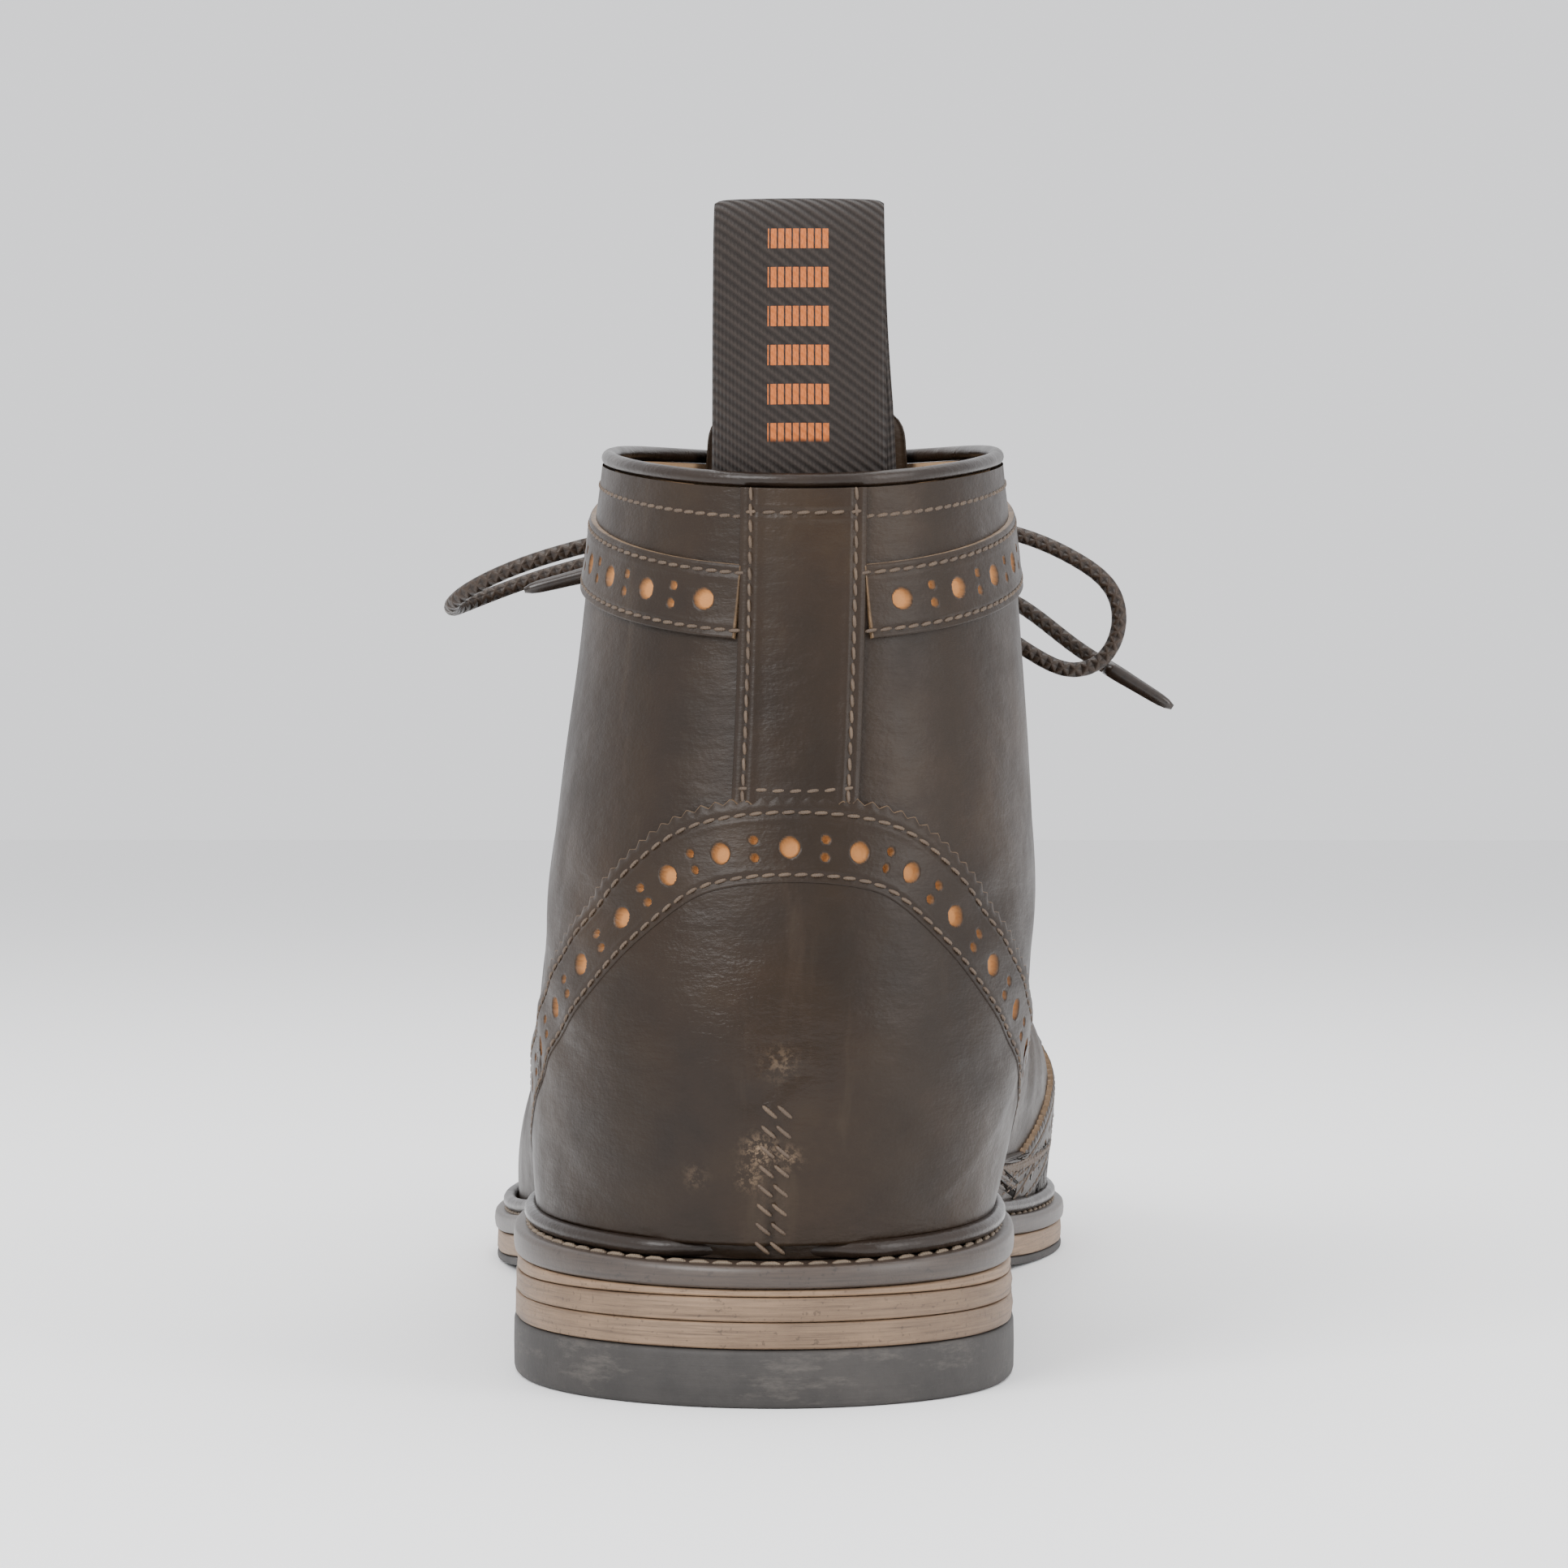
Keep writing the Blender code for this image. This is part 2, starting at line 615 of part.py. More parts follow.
def build_upper(collection, paint):
    """Hollow shell over the last, open at collar, throat and underneath."""
    fore = 1 - np.cos(np.linspace(0, math.pi / 2, 11))
    turns = np.concatenate([
        0.32 * fore, np.linspace(0.32, throat_turn, 4)[1:],
        np.linspace(throat_turn, 1.0, 13)[1:], np.linspace(1.0, 2.0, 9)[1:]])
    steps = denser_ends(np.linspace(0, 1, 11))
    vertices = []
    faces = []
    for side in (-1.0, 1.0):
        first = len(vertices)
        for turn in turns:
            room = ring_length(turn, side) - throat_half(turn)
            rise, _ = ring_places(turn, side * room * steps, False)
            rise[0] = 0
            if turn <= throat_turn:
                rise[-1] = 1
            vertices.extend(ring_point(turn, rise, side))
        for face in grid_faces(len(turns), len(steps), side < 0):
            faces.append(tuple(first + k for k in face))
    upper = new_object("upper", vertices, faces, collection, paint)
    wall = upper.modifiers.new("wall", "SOLIDIFY")
    wall.thickness = upper_wall
    wall.offset = -1
    wall.use_even_offset = True
    upper = as_mesh(upper)
    for vertex in upper.data.vertices:
        floor = float(seat_height(vertex.co.y + heel_centre)) + clearance
        vertex.co.z = max(vertex.co.z, floor)
    return upper


def build_toe_cap(collection, paint):
    """Winged cap over the toe: its back edge peaks on the ridge and runs back along the sides."""
    edge = spline((0.0, 0.25, 0.5, 0.75, 1.0), wing_turns)
    even = np.linspace(-1, 1, 25)
    reached = np.sign(even) * (1 - (1 - abs(even)) ** low_density)
    points = []
    normals = []
    for share in np.linspace(0, 1, 13):
        row_points = []
        row_normals = []
        for place in reached:
            side = -1.0 if place < 0 else 1.0
            turn = float(edge(abs(place))) * share
            room = ring_length(turn, side) - overlay_foot - bead_radius
            rise, _ = ring_places(turn, [side * room * abs(place)], True)
            if place == 0:
                rise[0] = 1
            row_points.append(ring_point(turn, rise[0], side))
            row_normals.append(surface_normal(turn, rise[0], side))
        points.append(row_points)
        normals.append(row_normals)
    return shell("toe_cap", (np.array(points), np.array(normals)), overlay_thickness,
                 collection, paint, gap=clearance + 1.5 * facet_room, joined_start=True)


def back_depth_at(height):
    """Depth of the back line at a height."""
    turns = np.linspace(1, 2.2, 80)
    depth, level_here, _ = ring_start(turns)
    return np.interp(height, level_here, depth)


def build_counter(collection, paint):
    """Heel counter: its top edge arches down from the back line to the waist on each side."""
    place = np.linspace(-1, 1, 27)
    side = np.where(place < 0, -1.0, 1.0)
    away = counter_reach * place ** 2
    seat = seat_height(feather_back)
    edge = spline([row[0] for row in counter_rows], [row[1] for row in counter_rows])
    top = seat + (counter_back_height - seat) * edge(place ** 2)
    low = seat_height(feather_back + away) + overlay_foot
    points = []
    normals = []
    for share in np.linspace(0, 1, 7):
        height = low + (top - low) * share
        row, normal = surface_at(back_depth_at(height) + away, height, side)
        points.append(row)
        normals.append(normal)
    return shell("heel_counter", (np.array(points), np.array(normals)), overlay_thickness,
                 collection, paint, gap=clearance + facet_room / 2)


def build_back_strip(collection, paint):
    """Strip over the back seam, from the counter to the topline."""
    turns = np.linspace(turn_at(counter_back_height + 2 * clearance), 2.0, 8)
    across = np.linspace(-0.5, 0.5, 6) * back_strip_width
    return shell("back_strip", patch(turns, [across] * len(turns), False), band_thickness,
                 collection, paint)


def build_collar_bands(collection, paint):
    """Band round the ankle on each side, from the back strip to the facing."""
    high = turn_at(collar_back_height - band_drop)
    turns = np.linspace(turn_at(collar_back_height - band_drop - band_width), high, 2)
    start = back_strip_width / 2 + 2 * clearance
    for name, side in (("collar_band_outer", -1.0), ("collar_band_inner", 1.0)):
        rows = []
        for turn in turns:
            end = ring_length(turn, side) - throat_half(turn) - facing_width - 2 * clearance
            rows.append(side * np.linspace(start, end, 18))
        shell(name, patch(turns, rows, False), band_thickness, collection, paint,
              gap=clearance + facet_room / 3)


def build_facings(collection, paint):
    """Facing on each side of the throat, pierced for the eyelets."""
    turns = np.concatenate([
        np.linspace(throat_turn + 0.03, 1.0, 9), np.linspace(1.0, 2.0, 6)[1:]])
    facings = []
    for name, side in (("facing_outer", -1.0), ("facing_inner", 1.0)):
        rows = []
        for turn in turns:
            start = throat_half(turn)
            rows.append(side * np.linspace(start, start + facing_width, 5))
        facings.append(shell(name, patch(turns, rows, True), overlay_thickness, collection, paint))
    return facings


def build_tongue(collection, paint):
    """Tongue under the throat, from the vamp to above the collar."""
    turns = np.concatenate([
        np.linspace(throat_turn - 0.05, 1.0, 8), np.linspace(1.0, 2.2, 6)[1:]])
    across = np.linspace(-1, 1, 7) * tongue_half_width
    gap = -(upper_wall + clearance + 2.2 * facet_room + tongue_thickness)
    return shell("tongue", patch(turns, [across] * len(turns), True), tongue_thickness,
                 collection, paint, gap=gap)


def eyelet_turns():
    """Rings of the eyelets, evenly spaced along the top line of the throat."""
    turns = np.linspace(throat_turn, 2.0, 200)
    line = np.stack([top_depth(turns), top_height(turns)], axis=1)
    length = np.concatenate([[0], np.cumsum(np.linalg.norm(np.diff(line, axis=0), axis=1))])
    places = np.linspace(eyelet_end_margin, length[-1] - eyelet_end_margin, eyelet_pairs)
    return np.interp(places, length, turns)


def eyelet_place(turn, side):
    """Surface point under an eyelet's middle, and the normal there."""
    rise, _ = ring_places(turn, [side * (throat_half(turn) + eyelet_inset)], True)
    return ring_point(turn, rise[0], side), surface_normal(turn, rise[0], side)


def build_eyelets(collection, cutters, paint, pierced):
    """Flanged eyelets in their holes through facing and upper."""
    top = eyelet_flange_thickness
    foot = -(2 * clearance + overlay_thickness + upper_wall - clearance)
    profile = (
        (eyelet_bore_radius, top), (eyelet_flange_radius, 0), (eyelet_barrel_radius, 0),
        (eyelet_barrel_radius, foot), (eyelet_bore_radius, foot))
    mesh = bpy.data.meshes.new("eyelet")
    ends = [(k, (k + 1) % len(profile)) for k in range(len(profile))]
    mesh.from_pydata([(radius, 0, height) for radius, height in profile], ends, [])
    mesh.materials.append(paint)
    holes = []
    for side, word in ((-1.0, "outer"), (1.0, "inner")):
        for number, turn in enumerate(eyelet_turns(), 1):
            point, normal = eyelet_place(turn, side)
            facing_out = Vector(normal).to_track_quat("Z", "Y")
            eyelet = bpy.data.objects.new(f"eyelet_{word}_{number}", mesh)
            eyelet.location = point + normal * (2 * clearance + overlay_thickness)
            eyelet.rotation_mode = "QUATERNION"
            eyelet.rotation_quaternion = facing_out
            turned = eyelet.modifiers.new("turned", "SCREW")
            turned.steps = turned.render_steps = 8
            turned.use_merge_vertices = False
            turned.use_smooth_shade = True
            collection.objects.link(eyelet)
            body = bmesh.new()
            bmesh.ops.create_cone(
                body, cap_ends=True, segments=8, radius1=eyelet_barrel_radius + clearance,
                radius2=eyelet_barrel_radius + clearance, depth=4 * upper_wall)
            body.transform(Matrix.LocRotScale(Vector(point), facing_out, None))
            hole = bpy.data.meshes.new(f"hole_{word}_{number}")
            body.to_mesh(hole)
            body.free()
            holes.append(hole)
    for number, hole in enumerate(holes):
        cutter = bpy.data.objects.new(hole.name, hole)
        cutter.hide_render = True
        cutter.display_type = "WIRE"
        cutters.objects.link(cutter)
        outer = number < eyelet_pairs
        for thing in (pierced[0], pierced[1] if outer else pierced[2]):
            cut = thing.modifiers.new(hole.name, "BOOLEAN")
            cut.operation = "DIFFERENCE"
            cut.object = cutter


def build_bead(collection, paint):
    """Round bead that covers the joint of upper and welt, all round."""
    stand = bead_radius + 1.8 * clearance
    above = clearance + 1.7 * bead_radius
    turns = np.linspace(0, 1, 240)
    rounds = []
    for side in (-1.0, 1.0):
        start_depth, start_height, _ = ring_start(turns)
        rise = above / (top_height(turns) - start_height)
        points = ring_point(turns, rise, side)
        points = points + surface_normal(turns, rise, side) * stand
        rounds.append(points)
    heel = ring_point(turn_at(seat_height(feather_back) + clearance + above), 0, 1)
    heel = heel - [0, stand, 0]
    line = np.vstack([rounds[0], heel[None], rounds[1][::-1]])
    steps = np.diff(line, axis=0)
    length = np.concatenate([[0], np.cumsum(np.linalg.norm(steps, axis=1))])
    heading = np.unwrap(np.arctan2(steps[:, 1], steps[:, 0]))
    bend = np.concatenate([[0, 0], np.cumsum(abs(np.diff(heading)))])
    measure = length / length[-1] + bend / bend[-1]
    places = np.linspace(0, 2, 51)[:-1]
    points = np.stack([np.interp(places, measure, line[:, k]) for k in range(3)], axis=1)
    points[:, 2] = seat_height(points[:, 1] + heel_centre) + clearance + bead_radius
    return tube("welt_bead", points, bead_radius, collection, paint, closed=True, sides=1)


def build_binding(collection, paint):
    """Rolled edge on the collar, from facing to facing round the back."""
    rise = np.concatenate([np.linspace(1, 0, 19), np.linspace(0, 1, 19)[1:]])
    rise = (1 - np.cos(math.pi * rise)) / 2
    side = np.where(np.arange(len(rise)) < 19, -1.0, 1.0)
    points = ring_point(2.0, rise, side)
    normals = surface_normal(2.0, rise, side)
    reach_back = ring_length(2.0, 1.0) - throat_half(2.0)
    limit = ring_places(2.0, [-reach_back, reach_back], False)[0].min()
    points = points - normals * upper_wall / 2
    points[:, 2] += clearance + binding_radius
    points = points[rise < limit]
    return tube("topline_binding", points, binding_radius, collection, paint, sides=1)


def build_pull_loop(collection, paint):
    """Folded webbing loop that stands up from inside the collar at the back."""
    inside = upper_wall + 2 * clearance + 2 * facet_room + webbing_thickness / 2
    top = collar_back_height + loop_rise
    low = collar_back_height - loop_depth_below
    rim = collar_back_height + 2 * binding_radius
    outer_heights = np.array([low, (low + rim) / 2, rim, rim + 0.3 * loop_rise, rim + 0.6 * loop_rise])
    back = back_depth_at(np.minimum(outer_heights, rim)) + inside
    outer_leg = back + loop_bulge * np.array([0.0, 0.0, 0.02, -0.12, -0.15])
    middle = back[-1] + 0.45 * loop_bulge
    inner_leg = outer_leg + np.array([1.35, 1.35, 4.5, 9.0, 9.6]) * webbing_thickness / 1.4
    fold = [
        (outer_leg[-1] + 0.15 * loop_bulge, top - 0.10 * loop_rise),
        (middle - 0.12 * loop_bulge, top - 0.02 * loop_rise),
        (middle + 0.12 * loop_bulge, top - 0.02 * loop_rise),
        (inner_leg[-1] - 0.15 * loop_bulge, top - 0.10 * loop_rise)]
    side_view = list(zip(outer_leg, outer_heights)) + fold
    side_view += list(zip(inner_leg, outer_heights))[::-1]
    sway = float(ring_start(2.0)[2]) - 0.8 * mm
    vertices = []
    for depth, height in side_view:
        bow = np.clip((top - height) / loop_rise, 0, 1)
        for share in np.linspace(-1, 1, 5):
            away = share * loop_width / 2
            curve = bow * away ** 2 / (2 * heel_round)
            vertices.append((sway + away, depth + curve - heel_centre, height))
    faces = grid_faces(len(side_view), 5)
    loop = new_object("pull_loop", vertices, faces, collection, paint)
    cloth = loop.modifiers.new("webbing", "SOLIDIFY")
    cloth.thickness = webbing_thickness
    cloth.offset = 0
    return loop


def over_front(turn, distance, lift):
    """Point at a signed distance from the ridge, lifted off the surface."""
    rise, side = ring_places(turn, [distance], True)
    rise = np.minimum(rise, 0.9999)
    point = ring_point(turn, rise, side) + surface_normal(turn, rise, side) * lift
    return point[0]


def lace_strand(stops, lift):
    """Lace that runs over the front from eyelet to eyelet; a stop is a ring and a side."""
    points = []
    for (turn, side), (next_turn, next_side) in zip(stops, stops[1:]):
        start = side * (throat_half(turn) + eyelet_inset)
        end = next_side * (throat_half(next_turn) + eyelet_inset)
        for share in np.linspace(0, 1, 6)[:-1]:
            at = turn + (next_turn - turn) * share
            points.append(over_front(at, start + (end - start) * share, lift))
    turn, side = stops[-1]
    points.append(over_front(turn, side * (throat_half(turn) + eyelet_inset), lift))
    return points


def build_lacing(collection, paint):
    """Bottom bar and crossings of the lace, joined where they meet."""
    lift = 3 * clearance + overlay_thickness + eyelet_flange_thickness + lace_radius + clearance
    turns = list(eyelet_turns())
    rising = [(turn, -1.0 if k % 2 == 0 else 1.0) for k, turn in enumerate(turns)]
    crossing = [(turn, -side) for turn, side in rising]
    first = lace_strand([rising[0], crossing[0]] + crossing[1:], lift)
    second = lace_strand(rising, lift)
    second[0] = second[0] + (second[1] - second[0]) * 0.1
    main_lace = as_mesh(tube("lacing", smooth_route(first, 6.8 * lace_radius), lace_radius,
                             collection, paint))
    other = as_mesh(tube("lacing_other", smooth_route(second, 6.6 * lace_radius), lace_radius,
                         collection, paint))
    join = main_lace.modifiers.new("joined", "BOOLEAN")
    join.operation = "UNION"
    join.object = other
    joined = as_mesh(main_lace)
    bpy.data.objects.remove(other)
    return joined


def build_bow(collection, paint, tip_paint):
    """Knot, loops, ends and tips of the bow, along routes chosen by hand."""
    bpy.ops.mesh.primitive_uv_sphere_add(segments=10, ring_count=6, radius=1)
    knot = bpy.context.object
    knot.name = "bow_knot"
    body = bmesh.new()
    body.from_mesh(knot.data)
    size = Matrix.Diagonal((*knot_size, 1))
    body.transform(Matrix.Translation(knot_centre) @ size)
    body.to_mesh(knot.data)
    body.free()
    knot.data.materials.append(paint)
    for holder in list(knot.users_collection):
        holder.objects.unlink(knot)
    collection.objects.link(knot)
    for name, route in bow_routes.items():
        points = smooth_route([[value * mm for value in place] for place in route],
                              5.6 * lace_radius)
        tube(name, points, lace_radius, collection, paint)
        if name.startswith("lace_end"):
            forward = points[-1] - points[-2]
            forward = forward / np.linalg.norm(forward)
            start = points[-1] + forward * clearance
            tip = [start, start + forward * aglet_length * 0.85, start + forward * aglet_length]
            tube(name.replace("lace_end", "aglet"), tip, aglet_radius, collection, tip_paint)


def build_sole(collection, welt_paint, stack_paint, rubber, lining):
    edge_round = 0.7 * mm
    ring_band("welt", (
        (0.0, raised(welt_under, clearance)),
        (0.0, raised(seat_height, -edge_round)),
        (edge_round, seat_height),
        (welt_ring_width, seat_height),
        (welt_ring_width, raised(welt_under, clearance))), collection, welt_paint)
    sole_plate("leather_sole", (
        (sole_inset, raised(sole_under, clearance)), (sole_inset, welt_under)),
        collection, stack_paint)
    sole_plate("forepart_rubber", (
        (sole_inset + tread_edge, tread_height),
        (sole_inset, raised(tread_height, tread_edge / 2)),
        (sole_inset, sole_under)), collection, rubber,
        start=heel_length + 2 * clearance)
    sole_plate("insole", (
        (insole_inset, raised(seat_height, clearance)),
        (insole_inset, raised(seat_height, clearance + insole_thickness))), collection, lining)
    heel_end = heel_length / sole_length
    lower = top_piece_thickness
    upper = lower + lower_lift_thickness
    sole_plate("top_piece", (
        (tread_edge, flat_at(0)), (0.3 * tread_edge, flat_at(0.35 * tread_edge)),
        (0.0, flat_at(tread_edge)), (0.0, flat_at(lower))), collection, rubber,
        end=heel_end, count=12)
    sole_plate("lower_lift", (
        (sole_inset, flat_at(lower + clearance)), (sole_inset, flat_at(upper))),
        collection, stack_paint, end=heel_end, count=12)
    sole_plate("upper_lift", (
        (sole_inset, flat_at(upper + clearance)), (sole_inset, sole_under)),
        collection, stack_paint, end=heel_end, count=12)


def raised(height, by):
    """Height function moved up by a distance."""
    return lambda depth: height(depth) + by


def flat_at(height):
    """Height function that is the same everywhere."""
    return lambda depth: np.full_like(depth, height)


def main():
    for thing in list(bpy.data.objects):
        bpy.data.objects.remove(thing)
    parts = bpy.data.collections.new("brogue_boot")
    cutters = bpy.data.collections.new("cutters")
    bpy.context.scene.collection.children.link(parts)
    bpy.context.scene.collection.children.link(cutters)

    leather = material("waxed leather", (0.045, 0.028, 0.018), 0.45)
    welt_paint = material("welt leather", (0.030, 0.020, 0.014), 0.45)
    stack_paint = material("stacked leather", (0.23, 0.14, 0.08), 0.6)
    rubber = material("heel rubber", (0.040, 0.035, 0.032), 0.75)
    lining = material("lining leather", (0.45, 0.30, 0.18), 0.7)
    webbing = material("webbing", (0.020, 0.013, 0.010), 0.85)
    cord = material("waxed cord", (0.025, 0.015, 0.010), 0.5)
    metal = material("antique brass", (0.22, 0.15, 0.08), 0.4, 0.9)

    build_sole(parts, welt_paint, stack_paint, rubber, lining)
    upper = build_upper(parts, leather)
    build_tongue(parts, leather)
    build_toe_cap(parts, leather)
    build_counter(parts, leather)
    build_back_strip(parts, leather)
    build_collar_bands(parts, leather)
    facings = build_facings(parts, leather)
    build_eyelets(parts, cutters, metal, [upper] + facings)
    build_bead(parts, welt_paint)
    build_binding(parts, leather)
    build_pull_loop(parts, webbing)
    build_lacing(parts, cord)
    build_bow(parts, cord, cord)


main()
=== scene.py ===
# Left brogue ankle boot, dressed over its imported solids.
# The boot's surface is a function of a turn and a climb: rings fan from the toe (turn 0) over the
# heel (turn 1) to the collar (turn 2), and a climb runs from a ring's low end (0) to the ridge of
# the foot (-1 on the outer side, 1 on the inner side).
import math

import bmesh
import bpy
import mathutils
import numpy as np
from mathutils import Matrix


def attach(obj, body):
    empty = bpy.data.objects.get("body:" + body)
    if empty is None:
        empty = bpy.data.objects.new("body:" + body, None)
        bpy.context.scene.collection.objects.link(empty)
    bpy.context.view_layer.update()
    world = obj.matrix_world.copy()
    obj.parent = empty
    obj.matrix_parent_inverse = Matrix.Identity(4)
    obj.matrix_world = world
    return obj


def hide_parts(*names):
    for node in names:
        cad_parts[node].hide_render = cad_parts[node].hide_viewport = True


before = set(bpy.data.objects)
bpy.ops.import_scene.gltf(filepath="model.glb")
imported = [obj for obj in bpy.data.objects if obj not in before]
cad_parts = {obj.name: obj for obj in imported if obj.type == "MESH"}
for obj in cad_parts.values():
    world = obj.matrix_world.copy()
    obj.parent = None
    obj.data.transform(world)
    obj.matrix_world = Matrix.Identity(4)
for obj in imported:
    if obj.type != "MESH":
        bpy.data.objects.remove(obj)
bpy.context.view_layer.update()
mm = 0.001

last = {
    "soleLength": 306 * mm, "heelWidth": 78.6 * mm, "ballWidth": 111.5 * mm, "heelLength": 78 * mm,
    "toeSpring": 11.5 * mm, "weltReach": 4.9 * mm, "collarBack": 136 * mm, "collarFront": 148 * mm,
    "instep": 94.5 * mm, "toeBox": 47 * mm, "topDip": 2.6 * mm, "fullness": 2.12, "gap": 0.3 * mm,
    "wall": 2.2 * mm, "throatTurn": 0.47, "throatGap": 10 * mm,
}
soleBuild = {
    "welt": 3.9 * mm, "leather": 4.0 * mm, "forepart": 1.6 * mm, "upperLift": 3.7 * mm,
    "lowerLift": 4.0 * mm, "topPiece": 8.6 * mm, "beadRadius": 1.3 * mm, "insole": 3.0 * mm,
}
heelStack = soleBuild["upperLift"] + soleBuild["lowerLift"] + soleBuild["topPiece"]
heelCentre = last["heelLength"] / 2 + 1.5 * mm
reach = {"heel": last["heelWidth"] / 2, "ball": last["ballWidth"] / 2}
level = {"toe": last["toeBox"], "instep": last["instep"], "collar": last["collarFront"]}

# along, follows, outer, inner
soleRows = (
    (0.0000, "heel", 0.000, 0.000), (0.0150, "heel", 0.460, 0.460), (0.0420, "heel", 0.730, 0.730),
    (0.0800, "heel", 0.910, 0.910), (0.1370, "heel", 1.000, 1.000), (0.2000, "heel", 0.995, 1.000),
    (0.2600, "heel", 0.960, 0.950), (0.3400, "ball", 0.665, 0.595), (0.4300, "ball", 0.740, 0.575),
    (0.5200, "ball", 0.875, 0.710), (0.6000, "ball", 0.985, 0.880), (0.6700, "ball", 1.012, 0.980),
    (0.7400, "ball", 0.965, 0.985), (0.8100, "ball", 0.850, 0.890), (0.8750, "ball", 0.720, 0.755),
    (0.9300, "ball", 0.560, 0.595), (0.9700, "ball", 0.382, 0.405), (0.9920, "ball", 0.204, 0.215),
    (1.0000, "ball", 0.000, 0.000))

# along, fall, spring, leather, welt
profileRows = (
    (0.000, 1.000, 0.000, 0.25, 0.93), (0.070, 0.980, 0.000, 0.45, 1.12),
    (0.137, 0.965, 0.000, 0.64, 1.20), (0.255, 0.900, 0.000, 0.85, 1.15),
    (0.360, 0.660, 0.000, 0.96, 1.05), (0.450, 0.360, 0.000, 1.00, 1.00),
    (0.530, 0.120, 0.000, 1.00, 1.00), (0.600, 0.015, 0.000, 1.00, 1.00),
    (0.660, 0.000, 0.000, 1.00, 1.00), (0.740, 0.000, 0.004, 1.00, 1.00),
    (0.820, 0.000, 0.140, 1.00, 1.00), (0.900, 0.000, 0.440, 1.00, 1.00),
    (1.000, 0.000, 1.000, 1.00, 1.00))

# turn, top along, level, top height, follows, outer, inner, outer low, inner low, crown, ridge
sectionRows = (
    (0.00, 0.9880, "toe", 0.700, "ball", 0.000, 0.000, 0.46, 0.46, 2.60, 0.075),
    (0.08, 0.9640, "toe", 0.895, "ball", 0.300, 0.330, 0.40, 0.42, 2.50, 0.080),
    (0.16, 0.9170, "toe", 1.000, "ball", 0.535, 0.585, 0.32, 0.37, 2.40, 0.085),
    (0.24, 0.8430, "toe", 1.096, "ball", 0.735, 0.780, 0.25, 0.34, 2.30, 0.090),
    (0.32, 0.7500, "instep", 0.625, "ball", 0.890, 0.900, 0.20, 0.33, 2.15, 0.090),
    (0.40, 0.6480, "instep", 0.738, "ball", 0.945, 0.885, 0.18, 0.34, 2.00, 0.090),
    (0.48, 0.5620, "instep", 0.868, "ball", 0.860, 0.775, 0.22, 0.38, 1.85, 0.088),
    (0.56, 0.5030, "instep", 1.000, "ball", 0.750, 0.705, 0.28, 0.40, 1.80, 0.085),
    (0.64, 0.4650, "collar", 0.713, "heel", 0.985, 0.965, 0.33, 0.39, 1.80, 0.085),
    (0.72, 0.4430, "collar", 0.774, "heel", 0.980, 0.975, 0.36, 0.38, 1.85, 0.088),
    (0.80, 0.4280, "collar", 0.819, "heel", 0.984, 0.990, 0.385, 0.39, 1.90, 0.092),
    (0.88, 0.4180, "collar", 0.853, "heel", 0.988, 1.000, 0.402, 0.404, 1.98, 0.096),
    (0.94, 0.4130, "collar", 0.874, "heel", 0.990, 1.004, 0.408, 0.409, 2.03, 0.100),
    (1.00, 0.4080, "collar", 0.892, "heel", 0.986, 1.004, 0.410, 0.410, 2.05, 0.102),
    (1.08, 0.4050, "collar", 0.906, "heel", 0.981, 1.000, 0.410, 0.410, 2.05, 0.103),
    (1.20, 0.4010, "collar", 0.926, "heel", 0.965, 0.980, 0.412, 0.412, 2.08, 0.104),
    (1.40, 0.3970, "collar", 0.951, "heel", 0.940, 0.940, 0.415, 0.415, 2.10, 0.106),
    (1.60, 0.3935, "collar", 0.972, "heel", 0.908, 0.898, 0.42, 0.42, 2.10, 0.107),
    (1.80, 0.3915, "collar", 0.988, "heel", 0.877, 0.855, 0.42, 0.42, 2.10, 0.108),
    (2.00, 0.3905, "collar", 1.000, "heel", 0.830, 0.803, 0.42, 0.42, 2.10, 0.108),
    (2.20, 0.3895, "collar", 1.064, "heel", 0.800, 0.780, 0.42, 0.42, 2.10, 0.108))

# turn, along, sway, dip
backRows = (
    (1.00, 0.0155, 0.050, 0.0), (1.20, 0.0020, 0.085, 0.0), (1.40, 0.0045, 0.120, 0.0),
    (1.60, 0.0150, 0.150, 0.0), (1.80, 0.0245, 0.170, 0.5), (2.00, 0.0265, 0.180, 1.0),
    (2.20, 0.0250, 0.185, 1.0))


def spline(knots, values):
    # natural cubic curve: solves for the bend at each knot, then blends the two cubics of a span
    x = np.asarray(knots, float)
    y = np.asarray(values, float)
    count = len(x)
    step = np.diff(x)
    matrix = np.eye(count)
    right = np.zeros(count)
    inner = np.arange(1, count - 1)
    matrix[inner, inner - 1] = step[:-1]
    matrix[inner, inner] = 2 * (step[:-1] + step[1:])
    matrix[inner, inner + 1] = step[1:]
    right[inner] = 6 * (np.diff(y)[1:] / step[1:] - np.diff(y)[:-1] / step[:-1])
    bend = np.linalg.solve(matrix, right)

    def at(place):
        place = np.asarray(place, float)
        i = np.clip(np.searchsorted(x, place, side="right") - 1, 0, count - 2)
        after = (place - x[i]) / step[i]
        before = 1 - after
        curve = (before ** 3 - before) * bend[i] + (after ** 3 - after) * bend[i + 1]
        return before * y[i] + after * y[i + 1] + curve * step[i] ** 2 / 6
    return at


def turnOf(along):
    return np.arccos(np.clip(1 - 2 * np.asarray(along, float), -1, 1))


